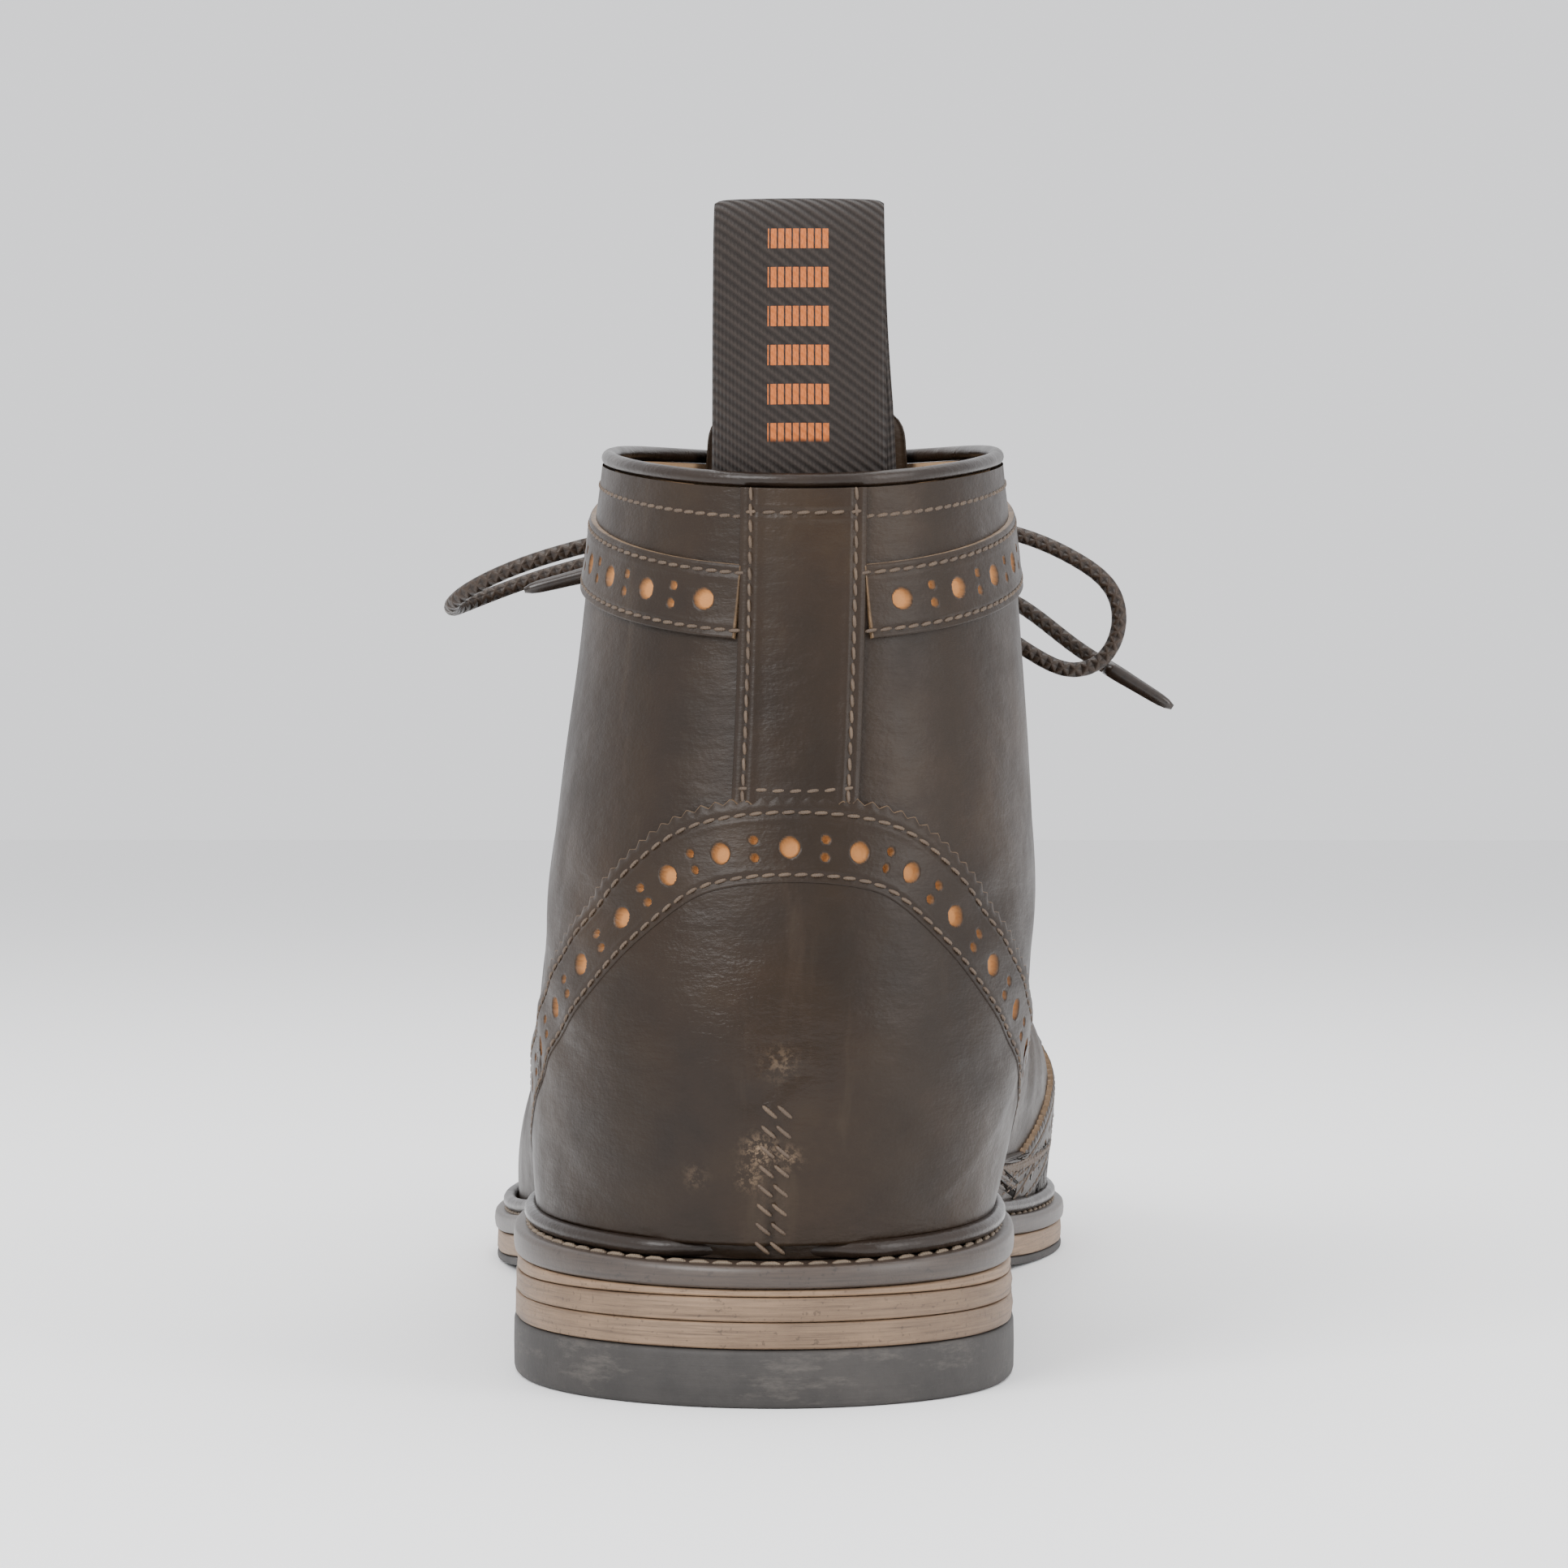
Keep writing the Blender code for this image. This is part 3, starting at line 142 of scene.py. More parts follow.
soleCentre = spline((0.0, 0.137, 0.5, 0.8, 1.0), (0.002, 0.0, 0.0, 0.0006, 0.004))
soleTurn = turnOf([row[0] for row in soleRows])
outerHalf = spline(soleTurn, [reach[row[1]] * row[2] for row in soleRows])
innerHalf = spline(soleTurn, [reach[row[1]] * row[3] for row in soleRows])
profileAlong = [row[0] for row in profileRows]
fall = spline(profileAlong, [row[1] for row in profileRows])
spring = spline(profileAlong, [row[2] for row in profileRows])
leatherShare = spline(profileAlong, [row[3] for row in profileRows])
weltShare = spline(profileAlong, [row[4] for row in profileRows])


def treadHeight(depth):
    # ground face of the forepart: the arch's fall to the ground, then the toe's rise
    along = depth / last["soleLength"]
    lift = (heelStack - soleBuild["forepart"]) * np.maximum(fall(along), 0)
    return lift + last["toeSpring"] * np.maximum(spring(along), 0) * (along > 0.74)


def soleUnder(depth):
    return treadHeight(depth) + soleBuild["forepart"]


def weltUnder(depth):
    return soleUnder(depth) + soleBuild["leather"] * leatherShare(depth / last["soleLength"])


def seatHeight(depth):
    return weltUnder(depth) + soleBuild["welt"] * weltShare(depth / last["soleLength"])


def soleLoop(count, inset=0.0):
    # outline of the sole: half-widths at cosine-spaced depths, moved inward along its normal
    turn = np.linspace(0, 2 * math.pi, 2 * count + 1)[:-1]
    depth = last["soleLength"] * (1 - np.cos(turn)) / 2
    half = np.where(turn <= math.pi, -outerHalf(turn), innerHalf(2 * math.pi - turn))
    points = np.stack([soleCentre(depth / last["soleLength"]) + half, depth], axis=1)
    along = np.roll(points, -1, axis=0) - np.roll(points, 1, axis=0)
    along /= np.linalg.norm(along, axis=1)[:, None]
    inward = np.stack([along[:, 1], -along[:, 0]], axis=1)
    return points + inward * inset


fineLoop = soleLoop(720, last["weltReach"])
featherBack = fineLoop[:, 1].min()
featherLength = fineLoop[:, 1].max() - featherBack
outerEdge = fineLoop[:721]
innerEdge = np.vstack([fineLoop[720:], fineLoop[:1]])[::-1]


def featherX(depth, edge):
    turn = turnOf((depth - featherBack) / featherLength)
    known = turnOf((edge[:, 1] - featherBack) / featherLength)
    return np.interp(turn, known, edge[:, 0])


sectionTurn = [row[0] for row in sectionRows]
topDepth = spline(sectionTurn, [last["soleLength"] * row[1] for row in sectionRows])
topHeight = spline(sectionTurn, [level[row[2]] * row[3] for row in sectionRows])
outerFull = spline(sectionTurn, [reach[row[4]] * row[5] for row in sectionRows])
innerFull = spline(sectionTurn, [reach[row[4]] * row[6] for row in sectionRows])
outerLow = spline(sectionTurn, [row[7] for row in sectionRows])
innerLow = spline(sectionTurn, [row[8] for row in sectionRows])
crown = spline(sectionTurn, [row[9] for row in sectionRows])
ridge = spline(sectionTurn, [last["ballWidth"] / 2 * row[10] for row in sectionRows])
backTurn = [row[0] for row in backRows]
backDepth = spline(backTurn, [last["soleLength"] * row[1] for row in backRows])
backSway = spline(backTurn, [last["heelWidth"] / 2 * row[2] for row in backRows])
backDip = spline(backTurn, [row[3] for row in backRows])


def ringStart(turn):
    # low end of a ring: on the feather line up to turn 1, then up the back line
    lower = np.minimum(turn, 1)
    feather = featherBack + featherLength * (1 + np.cos(math.pi * lower)) / 2
    seat = seatHeight(featherBack) + last["gap"]
    climb = seat + (last["collarBack"] - seat) * (turn - 1)
    upper = turn > 1
    depth = np.where(upper, backDepth(turn) - backDepth(1.0) + featherBack, feather)
    height = np.where(upper, climb, seatHeight(feather) + last["gap"])
    sway = backSway(turn) - backSway(1.0) + soleCentre(featherBack / last["soleLength"])
    return depth, height, np.where(upper, sway, soleCentre(feather / last["soleLength"])), feather


def ringPoint(turn, climb):
    # a straight rise in side view; half-width is a superellipse quarter below the fullest
    # point of the ring and a root of one minus a power above it
    turn, climb = np.broadcast_arrays(np.asarray(turn, float), np.asarray(climb, float))
    side = np.where(climb < 0, -1.0, 1.0)
    rise = np.clip(climb ** 2, 0, 1)
    startDepth, startHeight, startX, feather = ringStart(turn)
    outer = startX - featherX(feather, outerEdge)
    inner = featherX(feather, innerEdge) - startX
    edge = np.where(turn < 1, np.where(side < 0, outer, inner), 0)
    full = np.maximum(np.where(side < 0, outerFull(turn), innerFull(turn)), 1e-7)
    low = np.where(side < 0, outerLow(turn), innerLow(turn))
    power = last["fullness"]
    begin = 1 - (1 - np.clip(edge / full, 0, 0.999) ** power) ** (1 / power)
    up = begin + (1 - begin) * np.clip(rise / low, 0, 1)
    below = np.maximum(1 - (1 - up) ** power, 0) ** (1 / power)
    over = np.clip((rise - low) / (1 - low), 0, 1)
    above = np.sqrt(np.maximum(1 - over ** crown(turn), 0))
    half = full * np.where(rise < low, below, above)
    depth = startDepth + (topDepth(turn) - startDepth) * rise
    height = startHeight + (topHeight(turn) - startHeight) * rise
    height = height + last["topDip"] * np.where(turn > 1.6, backDip(turn), 0) * 4 * rise * (1 - rise)
    across = startX + (ridge(turn) - startX) * rise + side * half
    return np.stack([across, depth - heelCentre, height], axis=-1)


def unit(vectors):
    return vectors / np.maximum(np.linalg.norm(vectors, axis=-1, keepdims=True), 1e-12)


def normalAt(turn, climb):
    # cross product of small steps along and across the ring; the mean of both sides where they meet
    small = 2e-4
    turn, climb = np.broadcast_arrays(np.asarray(turn, float), np.asarray(climb, float))
    size = np.clip(abs(climb), 2 * small, 1 - 2 * small)
    turn = np.maximum(turn, 2 * small)
    found = []
    for side in (np.where(climb < 0, -1.0, 1.0), np.where(climb < 0, 1.0, -1.0)):
        upward = ringPoint(turn, side * (size + small)) - ringPoint(turn, side * (size - small))
        backward = ringPoint(turn + small, side * size) - ringPoint(turn - small, side * size)
        found.append(unit(np.cross(upward, backward) * side[..., None]))
    meeting = (abs(climb) < 0.004) & (turn >= 1) | (abs(climb) > 0.998) | (turn < 0.001)
    return unit(np.where(meeting[..., None], found[0] + found[1], found[0]))


def landOn(points, turn, climb, rounds=4):
    # nearest place on the surface: least-squares steps in turn and climb
    small = 1e-4
    for _ in range(rounds):
        here = ringPoint(turn, climb)
        byTurn = (ringPoint(turn + small, climb) - here) / small
        byClimb = (ringPoint(turn, climb + small) - here) / small
        away = points - here
        a = (byTurn * byTurn).sum(-1) + 1e-9
        b = (byTurn * byClimb).sum(-1)
        c = (byClimb * byClimb).sum(-1) + 1e-9
        p = (byTurn * away).sum(-1)
        q = (byClimb * away).sum(-1)
        scale = np.maximum(a * c - b * b, 1e-12)
        turn = np.clip(turn + np.clip((c * p - b * q) / scale, -0.05, 0.05), 0.0005, 2.24)
        climb = np.clip(climb + np.clip((a * q - b * p) / scale, -0.05, 0.05), -1, 1)
    return turn, climb


def ringTable(turn, side, count=220):
    climb = side * np.sin(np.linspace(0, math.pi / 2, count))
    points = ringPoint(turn[:, None], climb[None])
    length = np.cumsum(np.linalg.norm(np.diff(points, axis=1), axis=2), axis=1)
    return climb, np.hstack([np.zeros((len(turn), 1)), length])


def climbAt(turn, distance, side, fromTop=False):
    # climb at a distance along each ring, measured from its low end or from the ridge
    climb, length = ringTable(turn, side)
    distance = np.broadcast_to(distance, turn.shape)
    place = length[:, -1] - distance if fromTop else distance
    return np.array([np.interp(p, row, climb) for p, row in zip(place, length)])


def ringLength(turn, side):
    return ringTable(np.atleast_1d(np.asarray(turn, float)), side)[1][:, -1]


def placeAt(depth, height, side):
    # turn and climb of a place in side view, found by halving the range of rings
    low = np.zeros_like(depth)
    high = np.full_like(depth, 2.2)
    for _ in range(40):
        turn = (low + high) / 2
        startDepth, startHeight = ringStart(turn)[:2]
        run = topDepth(turn) - startDepth
        rise = topHeight(turn) - startHeight
        behind = run * (height - startHeight) > rise * (depth - startDepth)
        low = np.where(behind, turn, low)
        high = np.where(behind, high, turn)
    share = ((depth - startDepth) * run + (height - startHeight) * rise) / (run ** 2 + rise ** 2)
    return turn, side * np.sqrt(np.clip(share, 0, 1))


def turnAtHeight(height):
    low = seatHeight(featherBack) + last["gap"]
    return 1 + (height - low) / (last["collarBack"] - low)


def backDepthAt(height):
    turns = np.linspace(1, 2.2, 80)
    depth, heights = ringStart(turns)[:2]
    return np.interp(height, heights, depth)


def throatHalf(turn):
    opened = np.sqrt(np.clip((turn - last["throatTurn"]) / 0.06, 0, 1))
    return last["throatGap"] / 2 * opened * (1 + 0.5 * np.clip(turn - 0.6, 0, 1.4) / 1.4)


def lengthAlong(points):
    return np.concatenate([[0], np.cumsum(np.linalg.norm(np.diff(points, axis=0), axis=1))])


def evenCurve(turn, climb, spacing):
    # the same curve on the surface with evenly spaced places; also their distances along it
    length = lengthAlong(ringPoint(turn, climb))
    count = int(length[-1] / spacing) + 1
    place = np.linspace(0, length[-1], count)
    return np.interp(place, length, turn), np.interp(place, length, climb), place


def march(turn, climb, distances, sign):
    # rows at distances from a curve, walked over the surface square to the curve's own direction
    tangent = unit(np.gradient(ringPoint(turn, climb), axis=0))
    turns = []
    climbs = []
    before = 0
    for row in distances:
        row = np.broadcast_to(row, turn.shape)
        gone = row - before
        for _ in range(max(1, int(np.ceil(abs(gone).max() / (1.2 * mm))))):
            parts = max(1, int(np.ceil(abs(gone).max() / (1.2 * mm))))
            inward = unit(np.cross(normalAt(turn, climb), tangent)) * sign
            target = ringPoint(turn, climb) + inward * (gone / parts)[:, None]
            turn, climb = landOn(target, turn, climb, 3)
        turns.append(turn)
        climbs.append(climb)
        before = row
    return np.array(turns), np.array(climbs)


print("form ready")


# Relief that every leather piece shares: creases are soft troughs with a low ridge on each side.
creases = (
    # turn and climb of points along the crease, depth in mm, half-width in mm
    (((0.385, -0.62), (0.375, -0.80), (0.372, -1.0), (0.378, 0.80), (0.392, 0.62)), 0.75, 2.6),
    (((0.425, -0.58), (0.412, -0.78), (0.405, -0.97), (0.408, 0.84), (0.428, 0.60)), 0.65, 2.4),
    (((0.350, -0.70), (0.342, -0.86), (0.340, 0.98), (0.346, 0.80), (0.356, 0.68)), 0.45, 2.2),
    (((0.455, -0.50), (0.440, -0.66), (0.432, -0.84)), 0.45, 2.2),
    (((0.460, 0.52), (0.446, 0.68), (0.436, 0.86)), 0.45, 2.2),
    (((1.02, -0.42), (0.96, -0.58), (0.93, -0.74), (0.92, -0.86)), 0.60, 4.2),
    (((1.14, -0.34), (1.10, -0.50), (1.06, -0.66), (1.03, -0.80)), 0.45, 3.6),
    (((1.02, 0.42), (0.96, 0.58), (0.93, 0.74), (0.92, 0.86)), 0.60, 4.2),
    (((1.13, 0.34), (1.09, 0.50), (1.05, 0.66), (1.03, 0.80)), 0.45, 3.6),
    (((1.42, -0.22), (1.36, -0.36), (1.31, -0.50)), 0.40, 3.0),
    (((1.40, 0.24), (1.35, 0.38), (1.30, 0.52)), 0.38, 3.0),
    (((0.66, -0.45), (0.70, -0.56), (0.78, -0.62)), 0.45, 3.4),
    (((0.66, 0.48), (0.70, 0.58), (0.78, 0.63)), 0.45, 3.4),
    (((1.245, 0.030), (1.215, -0.020), (1.180, -0.035)), 0.45, 1.5),
    (((1.235, -0.070), (1.210, -0.055), (1.190, -0.075)), 0.30, 1.6),
)
backSeam = {"low": 1.012, "high": 1.205, "depth": 0.55 * mm, "width": 0.55 * mm}


def relief(points):
    # sum over the creases: a trough by distance from the crease, fading at its two ends
    total = np.zeros(points.shape[:-1])
    flat = points.reshape(-1, 3)
    out = total.reshape(-1)
    for places, deep, wide in creases:
        places = np.array(places)
        climb = places[:, 1].copy()
        if climb.min() < -0.9 and climb.max() > 0.5:
            climb = np.where(climb > 0, climb - 2, climb)
        share = np.linspace(0, 1, len(places))
        fine = np.linspace(0, 1, 110)
        turn = spline(share, places[:, 0])(fine)
        climb = spline(share, climb)(fine)
        climb = np.where(climb < -1, climb + 2, climb)
        line = ringPoint(turn, climb)
        reachOut = 4 * wide * mm
        near = ((flat > line.min(0) - reachOut) & (flat < line.max(0) + reachOut)).all(1)
        if not near.any():
            continue
        away = np.linalg.norm(flat[near][:, None] - line[None], axis=2)
        nearest = away.argmin(1)
        away = away[np.arange(len(away)), nearest] / (wide * mm)
        fade = np.sin(math.pi * np.clip(fine[nearest], 0.02, 0.98)) ** 0.7
        trough = -np.exp(-away ** 2) + 0.42 * np.exp(-((away - 1.7) / 0.9) ** 2)
        out[near] += deep * mm * trough * fade
    return out.reshape(points.shape[:-1])


def seamRelief(points):
    # sewn seam up the middle of the heel: a narrow groove between two low welts
    turn = np.linspace(backSeam["low"], backSeam["high"], 60)
    line = ringPoint(turn, 0)
    across = points[..., 0] - np.interp(points[..., 2], line[:, 2], line[:, 0])
    low, high = line[0, 2], line[-1, 2]
    held = np.clip((points[..., 2] - low) / (2 * mm), 0, 1)
    held = held * np.clip((high - points[..., 2]) / (3 * mm), 0, 1) * (points[..., 1] < -25 * mm)
    away = abs(across) / backSeam["width"]
    return backSeam["depth"] * held * (0.45 * np.exp(-((away - 1.9) / 0.9) ** 2) - np.exp(-away ** 2))


def makeMesh(name, vertices, groups, paint, values=None, uv=None, merge=0.0):
    # mesh from arrays: each group holds faces with the same number of corners
    mesh = bpy.data.meshes.new(name)
    groups = [np.asarray(g, np.int32) for g in groups if len(g)]
    corners = np.concatenate([g.ravel() for g in groups])
    sizes = np.concatenate([np.full(len(g), g.shape[1]) for g in groups])
    mesh.vertices.add(len(vertices))
    mesh.vertices.foreach_set("co", np.asarray(vertices, np.float32).ravel())
    mesh.loops.add(len(corners))
    mesh.loops.foreach_set("vertex_index", corners)
    mesh.polygons.add(len(sizes))
    starts = np.concatenate([[0], np.cumsum(sizes)[:-1]]).astype(np.int32)
    mesh.polygons.foreach_set("loop_start", starts)
    mesh.update(calc_edges=True)
    for key, numbers in (values or {}).items():
        layer = mesh.attributes.new(key, "FLOAT", "POINT")
        layer.data.foreach_set("value", np.asarray(numbers, np.float32).ravel())
    if uv is not None:
        layer = mesh.uv_layers.new(name="UVMap")
        layer.data.foreach_set("uv", np.asarray(uv, np.float32).reshape(-1, 2)[corners].ravel())
    if merge:
        body = bmesh.new()
        body.from_mesh(mesh)
        bmesh.ops.remove_doubles(body, verts=body.verts, dist=merge)
        body.to_mesh(mesh)
        body.free()
    mesh.shade_smooth()
    mesh.materials.append(paint)
    thing = bpy.data.objects.new(name, mesh)
    bpy.context.scene.collection.objects.link(thing)
    return thing


def gridQuads(rows, columns, wrapRows=False, wrapColumns=False, flip=False):
    index = np.arange(rows * columns).reshape(rows, columns)
    if wrapRows:
        index = np.vstack([index, index[:1]])
    if wrapColumns:
        index = np.hstack([index, index[:, :1]])
    quads = np.stack([index[:-1, :-1], index[:-1, 1:], index[1:, 1:], index[1:, :-1]], axis=-1)
    quads = quads.reshape(-1, 4)
    return quads[:, ::-1] if flip else quads


def place(thing, slot, *nodes):
    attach(thing, "root")
    if nodes:
        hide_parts(*nodes)
    return thing


def facesOut(points, normals):
    # true where a grid's own winding already looks along the normals
    across = points[1:, :-1] - points[:-1, :-1]
    along = points[:-1, 1:] - points[:-1, :-1]
    return (np.cross(along, across) * normals[:-1, :-1]).sum() > 0


def leatherPiece(name, turn, climb, lift, skirt, paint, values=None, rawSides=(1, 1, 1, 1)):
    # grid of surface places lifted by a relief, with a cut edge that drops by the skirt all round
    surface = ringPoint(turn, climb)
    normal = normalAt(turn, climb)
    points = surface + normal * (lift + relief(surface))[..., None]
    points = np.pad(points, ((1, 1), (1, 1), (0, 0)), mode="edge")
    normals = np.pad(normal, ((1, 1), (1, 1), (0, 0)), mode="edge")
    border = np.ones(points.shape[:2], bool)
    border[1:-1, 1:-1] = False
    points[border] -= normals[border] * skirt
    raw = np.zeros(points.shape[:2])
    raw[:2] = rawSides[0]
    raw[-2:] = rawSides[1]
    raw[:, :2] = np.maximum(raw[:, :2], rawSides[2])
    raw[:, -2:] = np.maximum(raw[:, -2:], rawSides[3])
    raw[1:-1, 1:-1] *= 0.55
    given = {"raw": raw}
    for key, numbers in (values or {}).items():
        given[key] = np.pad(np.broadcast_to(numbers, turn.shape), 1, mode="edge")
    rows, columns = points.shape[:2]
    flip = not facesOut(points[1:-1, 1:-1], normals[1:-1, 1:-1])
    quads = gridQuads(rows, columns, flip=not flip)
    return makeMesh(name, points.reshape(-1, 3), [quads], paint, given)


def pits(along, across, holes, deep, soft):
    # depth and stain of round punched holes: a smooth wall of a set softness round each centre
    depth = np.zeros(along.shape)
    stain = np.zeros(along.shape)
    for s, d, radius in holes:
        window = (abs(along[0] - s) < radius + 3 * soft).nonzero()[0]
        if not len(window):
            continue
        part = slice(window[0], window[-1] + 1)
        away = np.hypot(along[:, part] - s, across[:, part] - d)
        inside = np.clip((radius + soft / 2 - away) / soft, 0, 1)
        inside = inside * inside * (3 - 2 * inside)
        depth[:, part] = np.maximum(depth[:, part], inside * deep)
        stain[:, part] = np.maximum(stain[:, part], np.clip((radius - away) / soft + 0.5, 0, 1))
    return depth, stain


stitchPlaces = {"thread": []}


def stitchRow(turn, climb, lift, spacing, kind="thread"):
    # stitches set out evenly on a curve: a place, a heading and a normal for each
    turn, climb, _ = evenCurve(turn, climb, spacing)
    surface = ringPoint(turn, climb)
    normal = normalAt(turn, climb)
    points = surface + normal * (lift + relief(surface))[:, None]
    heading = unit(np.gradient(points, axis=0))
    stitchPlaces.setdefault(kind, []).append((points, heading, normal))


def sewnMesh(name, groups, paint, size):
    # one small capsule, turned and moved to every stitch by its heading and normal
    around = np.linspace(0, 2 * math.pi, 7)[:-1]
    length = np.array([-0.5, -0.42, -0.2, 0.2, 0.42, 0.5]) * size["length"]
    roundness = np.array([0.15, 0.75, 1.0, 1.0, 0.75, 0.15]) * size["radius"]
    bow = -np.array([1.0, 0.6, 0.0, 0.0, 0.6, 1.0]) * size["dip"]
    x = np.repeat(length, 6)
    y = (roundness[:, None] * np.cos(around)).ravel()
    z = (roundness[:, None] * np.sin(around) * 0.8 + bow[:, None]).ravel()
    quads = gridQuads(6, 6, wrapColumns=True)
    caps = np.array([np.arange(6)[::-1], 30 + np.arange(6)])
    points = np.vstack([g[0] for g in groups])
    heading = np.vstack([g[1] for g in groups])
    normal = np.vstack([g[2] for g in groups])
    sideways = unit(np.cross(normal, heading))
    turned = heading * math.cos(size["slant"]) + sideways * math.sin(size["slant"])
    across = unit(np.cross(normal, turned))
    vertices = (points[:, None] + turned[:, None] * x[None, :, None]
                + across[:, None] * y[None, :, None] + normal[:, None] * z[None, :, None])
    offset = np.arange(len(points))[:, None, None] * 36
    allQuads = (quads[None] + offset).reshape(-1, 4)
    allCaps = (caps[None] + offset).reshape(-1, 6)
    return makeMesh(name, vertices.reshape(-1, 3), [allQuads, allCaps], paint)


def tubeMesh(name, path, radius, paint, closed=False, sides=14, squash=None, values=None):
    # circle carried along a path with a frame that turns as little as it can
    path = np.asarray(path, float)
    count = len(path)
    if closed:
        tangent = unit(np.roll(path, -1, axis=0) - np.roll(path, 1, axis=0))
    else:
        tangent = unit(np.gradient(path, axis=0))
    normal = np.zeros_like(path)
    start = np.cross(tangent[0], (0.0, 0.0, 1.0))
    if np.linalg.norm(start) < 0.1:
        start = np.cross(tangent[0], (0.0, 1.0, 0.0))
    normal[0] = unit(start)
    for i in range(1, count):
        turned = normal[i - 1] - tangent[i] * np.dot(normal[i - 1], tangent[i])
        normal[i] = turned / np.linalg.norm(turned)
    other = np.cross(tangent, normal)
    angle = np.linspace(0, 2 * math.pi, sides + 1)[:-1]
    radius = np.broadcast_to(radius, (count,))
    ring = np.cos(angle)[None, :, None] * normal[:, None] + np.sin(angle)[None, :, None] * other[:, None]
    vertices = path[:, None] + ring * radius[:, None, None]
    quads = gridQuads(count, sides, wrapRows=closed, wrapColumns=True)
    groups = [quads]
    if not closed:
        ends = np.array([np.arange(sides)[::-1], (count - 1) * sides + np.arange(sides)])
        groups.append(ends)
    run = lengthAlong(path)
    u = np.tile(np.arange(sides) / sides, (count, 1))
    u = np.minimum(u, 1 - u) * 2
    v = np.repeat(run[:, None], sides, axis=1)
    thing = makeMesh(name, vertices.reshape(-1, 3), groups, paint, values, np.stack([u, v], -1))
    return thing


def smoothRoute(points, spacing):
    # natural curve through a route's points, read at even distances
    points = np.asarray(points, float)
    knots = lengthAlong(points)
    curves = [spline(knots, points[:, k]) for k in range(3)]
    fine = np.linspace(0, knots[-1], 800)
    length = lengthAlong(np.stack([c(fine) for c in curves], axis=1))
    count = max(4, int(round(length[-1] / spacing)) + 1)
    at = np.interp(np.linspace(0, length[-1], count), length, fine)
    return np.stack([c(at) for c in curves], axis=1)


# Materials
def newPaint(name):
    paint = bpy.data.materials.new(name)
    paint.use_nodes = True
    tree = paint.node_tree
    return paint, tree, tree.nodes["Principled BSDF"]


def node(tree, kind, inputs=None, **settings):
    made = tree.nodes.new(kind)
    for key, value in settings.items():
        setattr(made, key, value)
    for key, value in (inputs or {}).items():
        if isinstance(value, bpy.types.NodeSocket):
            tree.links.new(value, made.inputs[key])
        else:
            made.inputs[key].default_value = value
    return made


def objectPlace(tree, scale=(1, 1, 1)):
    coords = node(tree, "ShaderNodeTexCoord")
    return node(tree, "ShaderNodeMapping", {"Vector": coords.outputs["Object"], "Scale": scale}).outputs[0]


def noise(tree, where, scale, detail=4, rough=0.6, kind="Fac"):
    made = node(tree, "ShaderNodeTexNoise", {"Vector": where, "Scale": scale, "Detail": detail,
                                              "Roughness": rough})
    return made.outputs[0 if kind == "Fac" else 1]


def ramp(tree, value, stops):
    made = node(tree, "ShaderNodeValToRGB", {"Fac": value})
    band = made.color_ramp
    while len(band.elements) < len(stops):
        band.elements.new(0.5)
    for element, (at, colour) in zip(band.elements, stops):
        element.position = at
        element.color = (*colour, 1) if len(colour) == 3 else colour
    return made.outputs[0]


def grey(value):
    return (value, value, value)


def mix(tree, factor, a, b, blend="MIX"):
    made = node(tree, "ShaderNodeMix", data_type="RGBA", blend_type=blend)
    for socket, value in zip((made.inputs[0], made.inputs[6], made.inputs[7]), (factor, a, b)):
        if isinstance(value, bpy.types.NodeSocket):
            tree.links.new(value, socket)
        else:
            socket.default_value = (*value, 1) if isinstance(value, tuple) and len(value) == 3 else value
    return made.outputs[2]


def maths(tree, operation, a, b=0.0, clamp=False):
    made = node(tree, "ShaderNodeMath", operation=operation, use_clamp=clamp)
    for socket, value in zip(made.inputs, (a, b)):
        if isinstance(value, bpy.types.NodeSocket):
            tree.links.new(value, socket)
        else:
            socket.default_value = value
    return made.outputs[0]


def attribute(tree, name):
    return node(tree, "ShaderNodeAttribute", attribute_name=name).outputs["Fac"]


def bump(tree, height, strength, distance, before=None):
    inputs = {"Height": height, "Strength": strength, "Distance": distance}
    if before is not None:
        inputs["Normal"] = before
    return node(tree, "ShaderNodeBump", inputs).outputs[0]


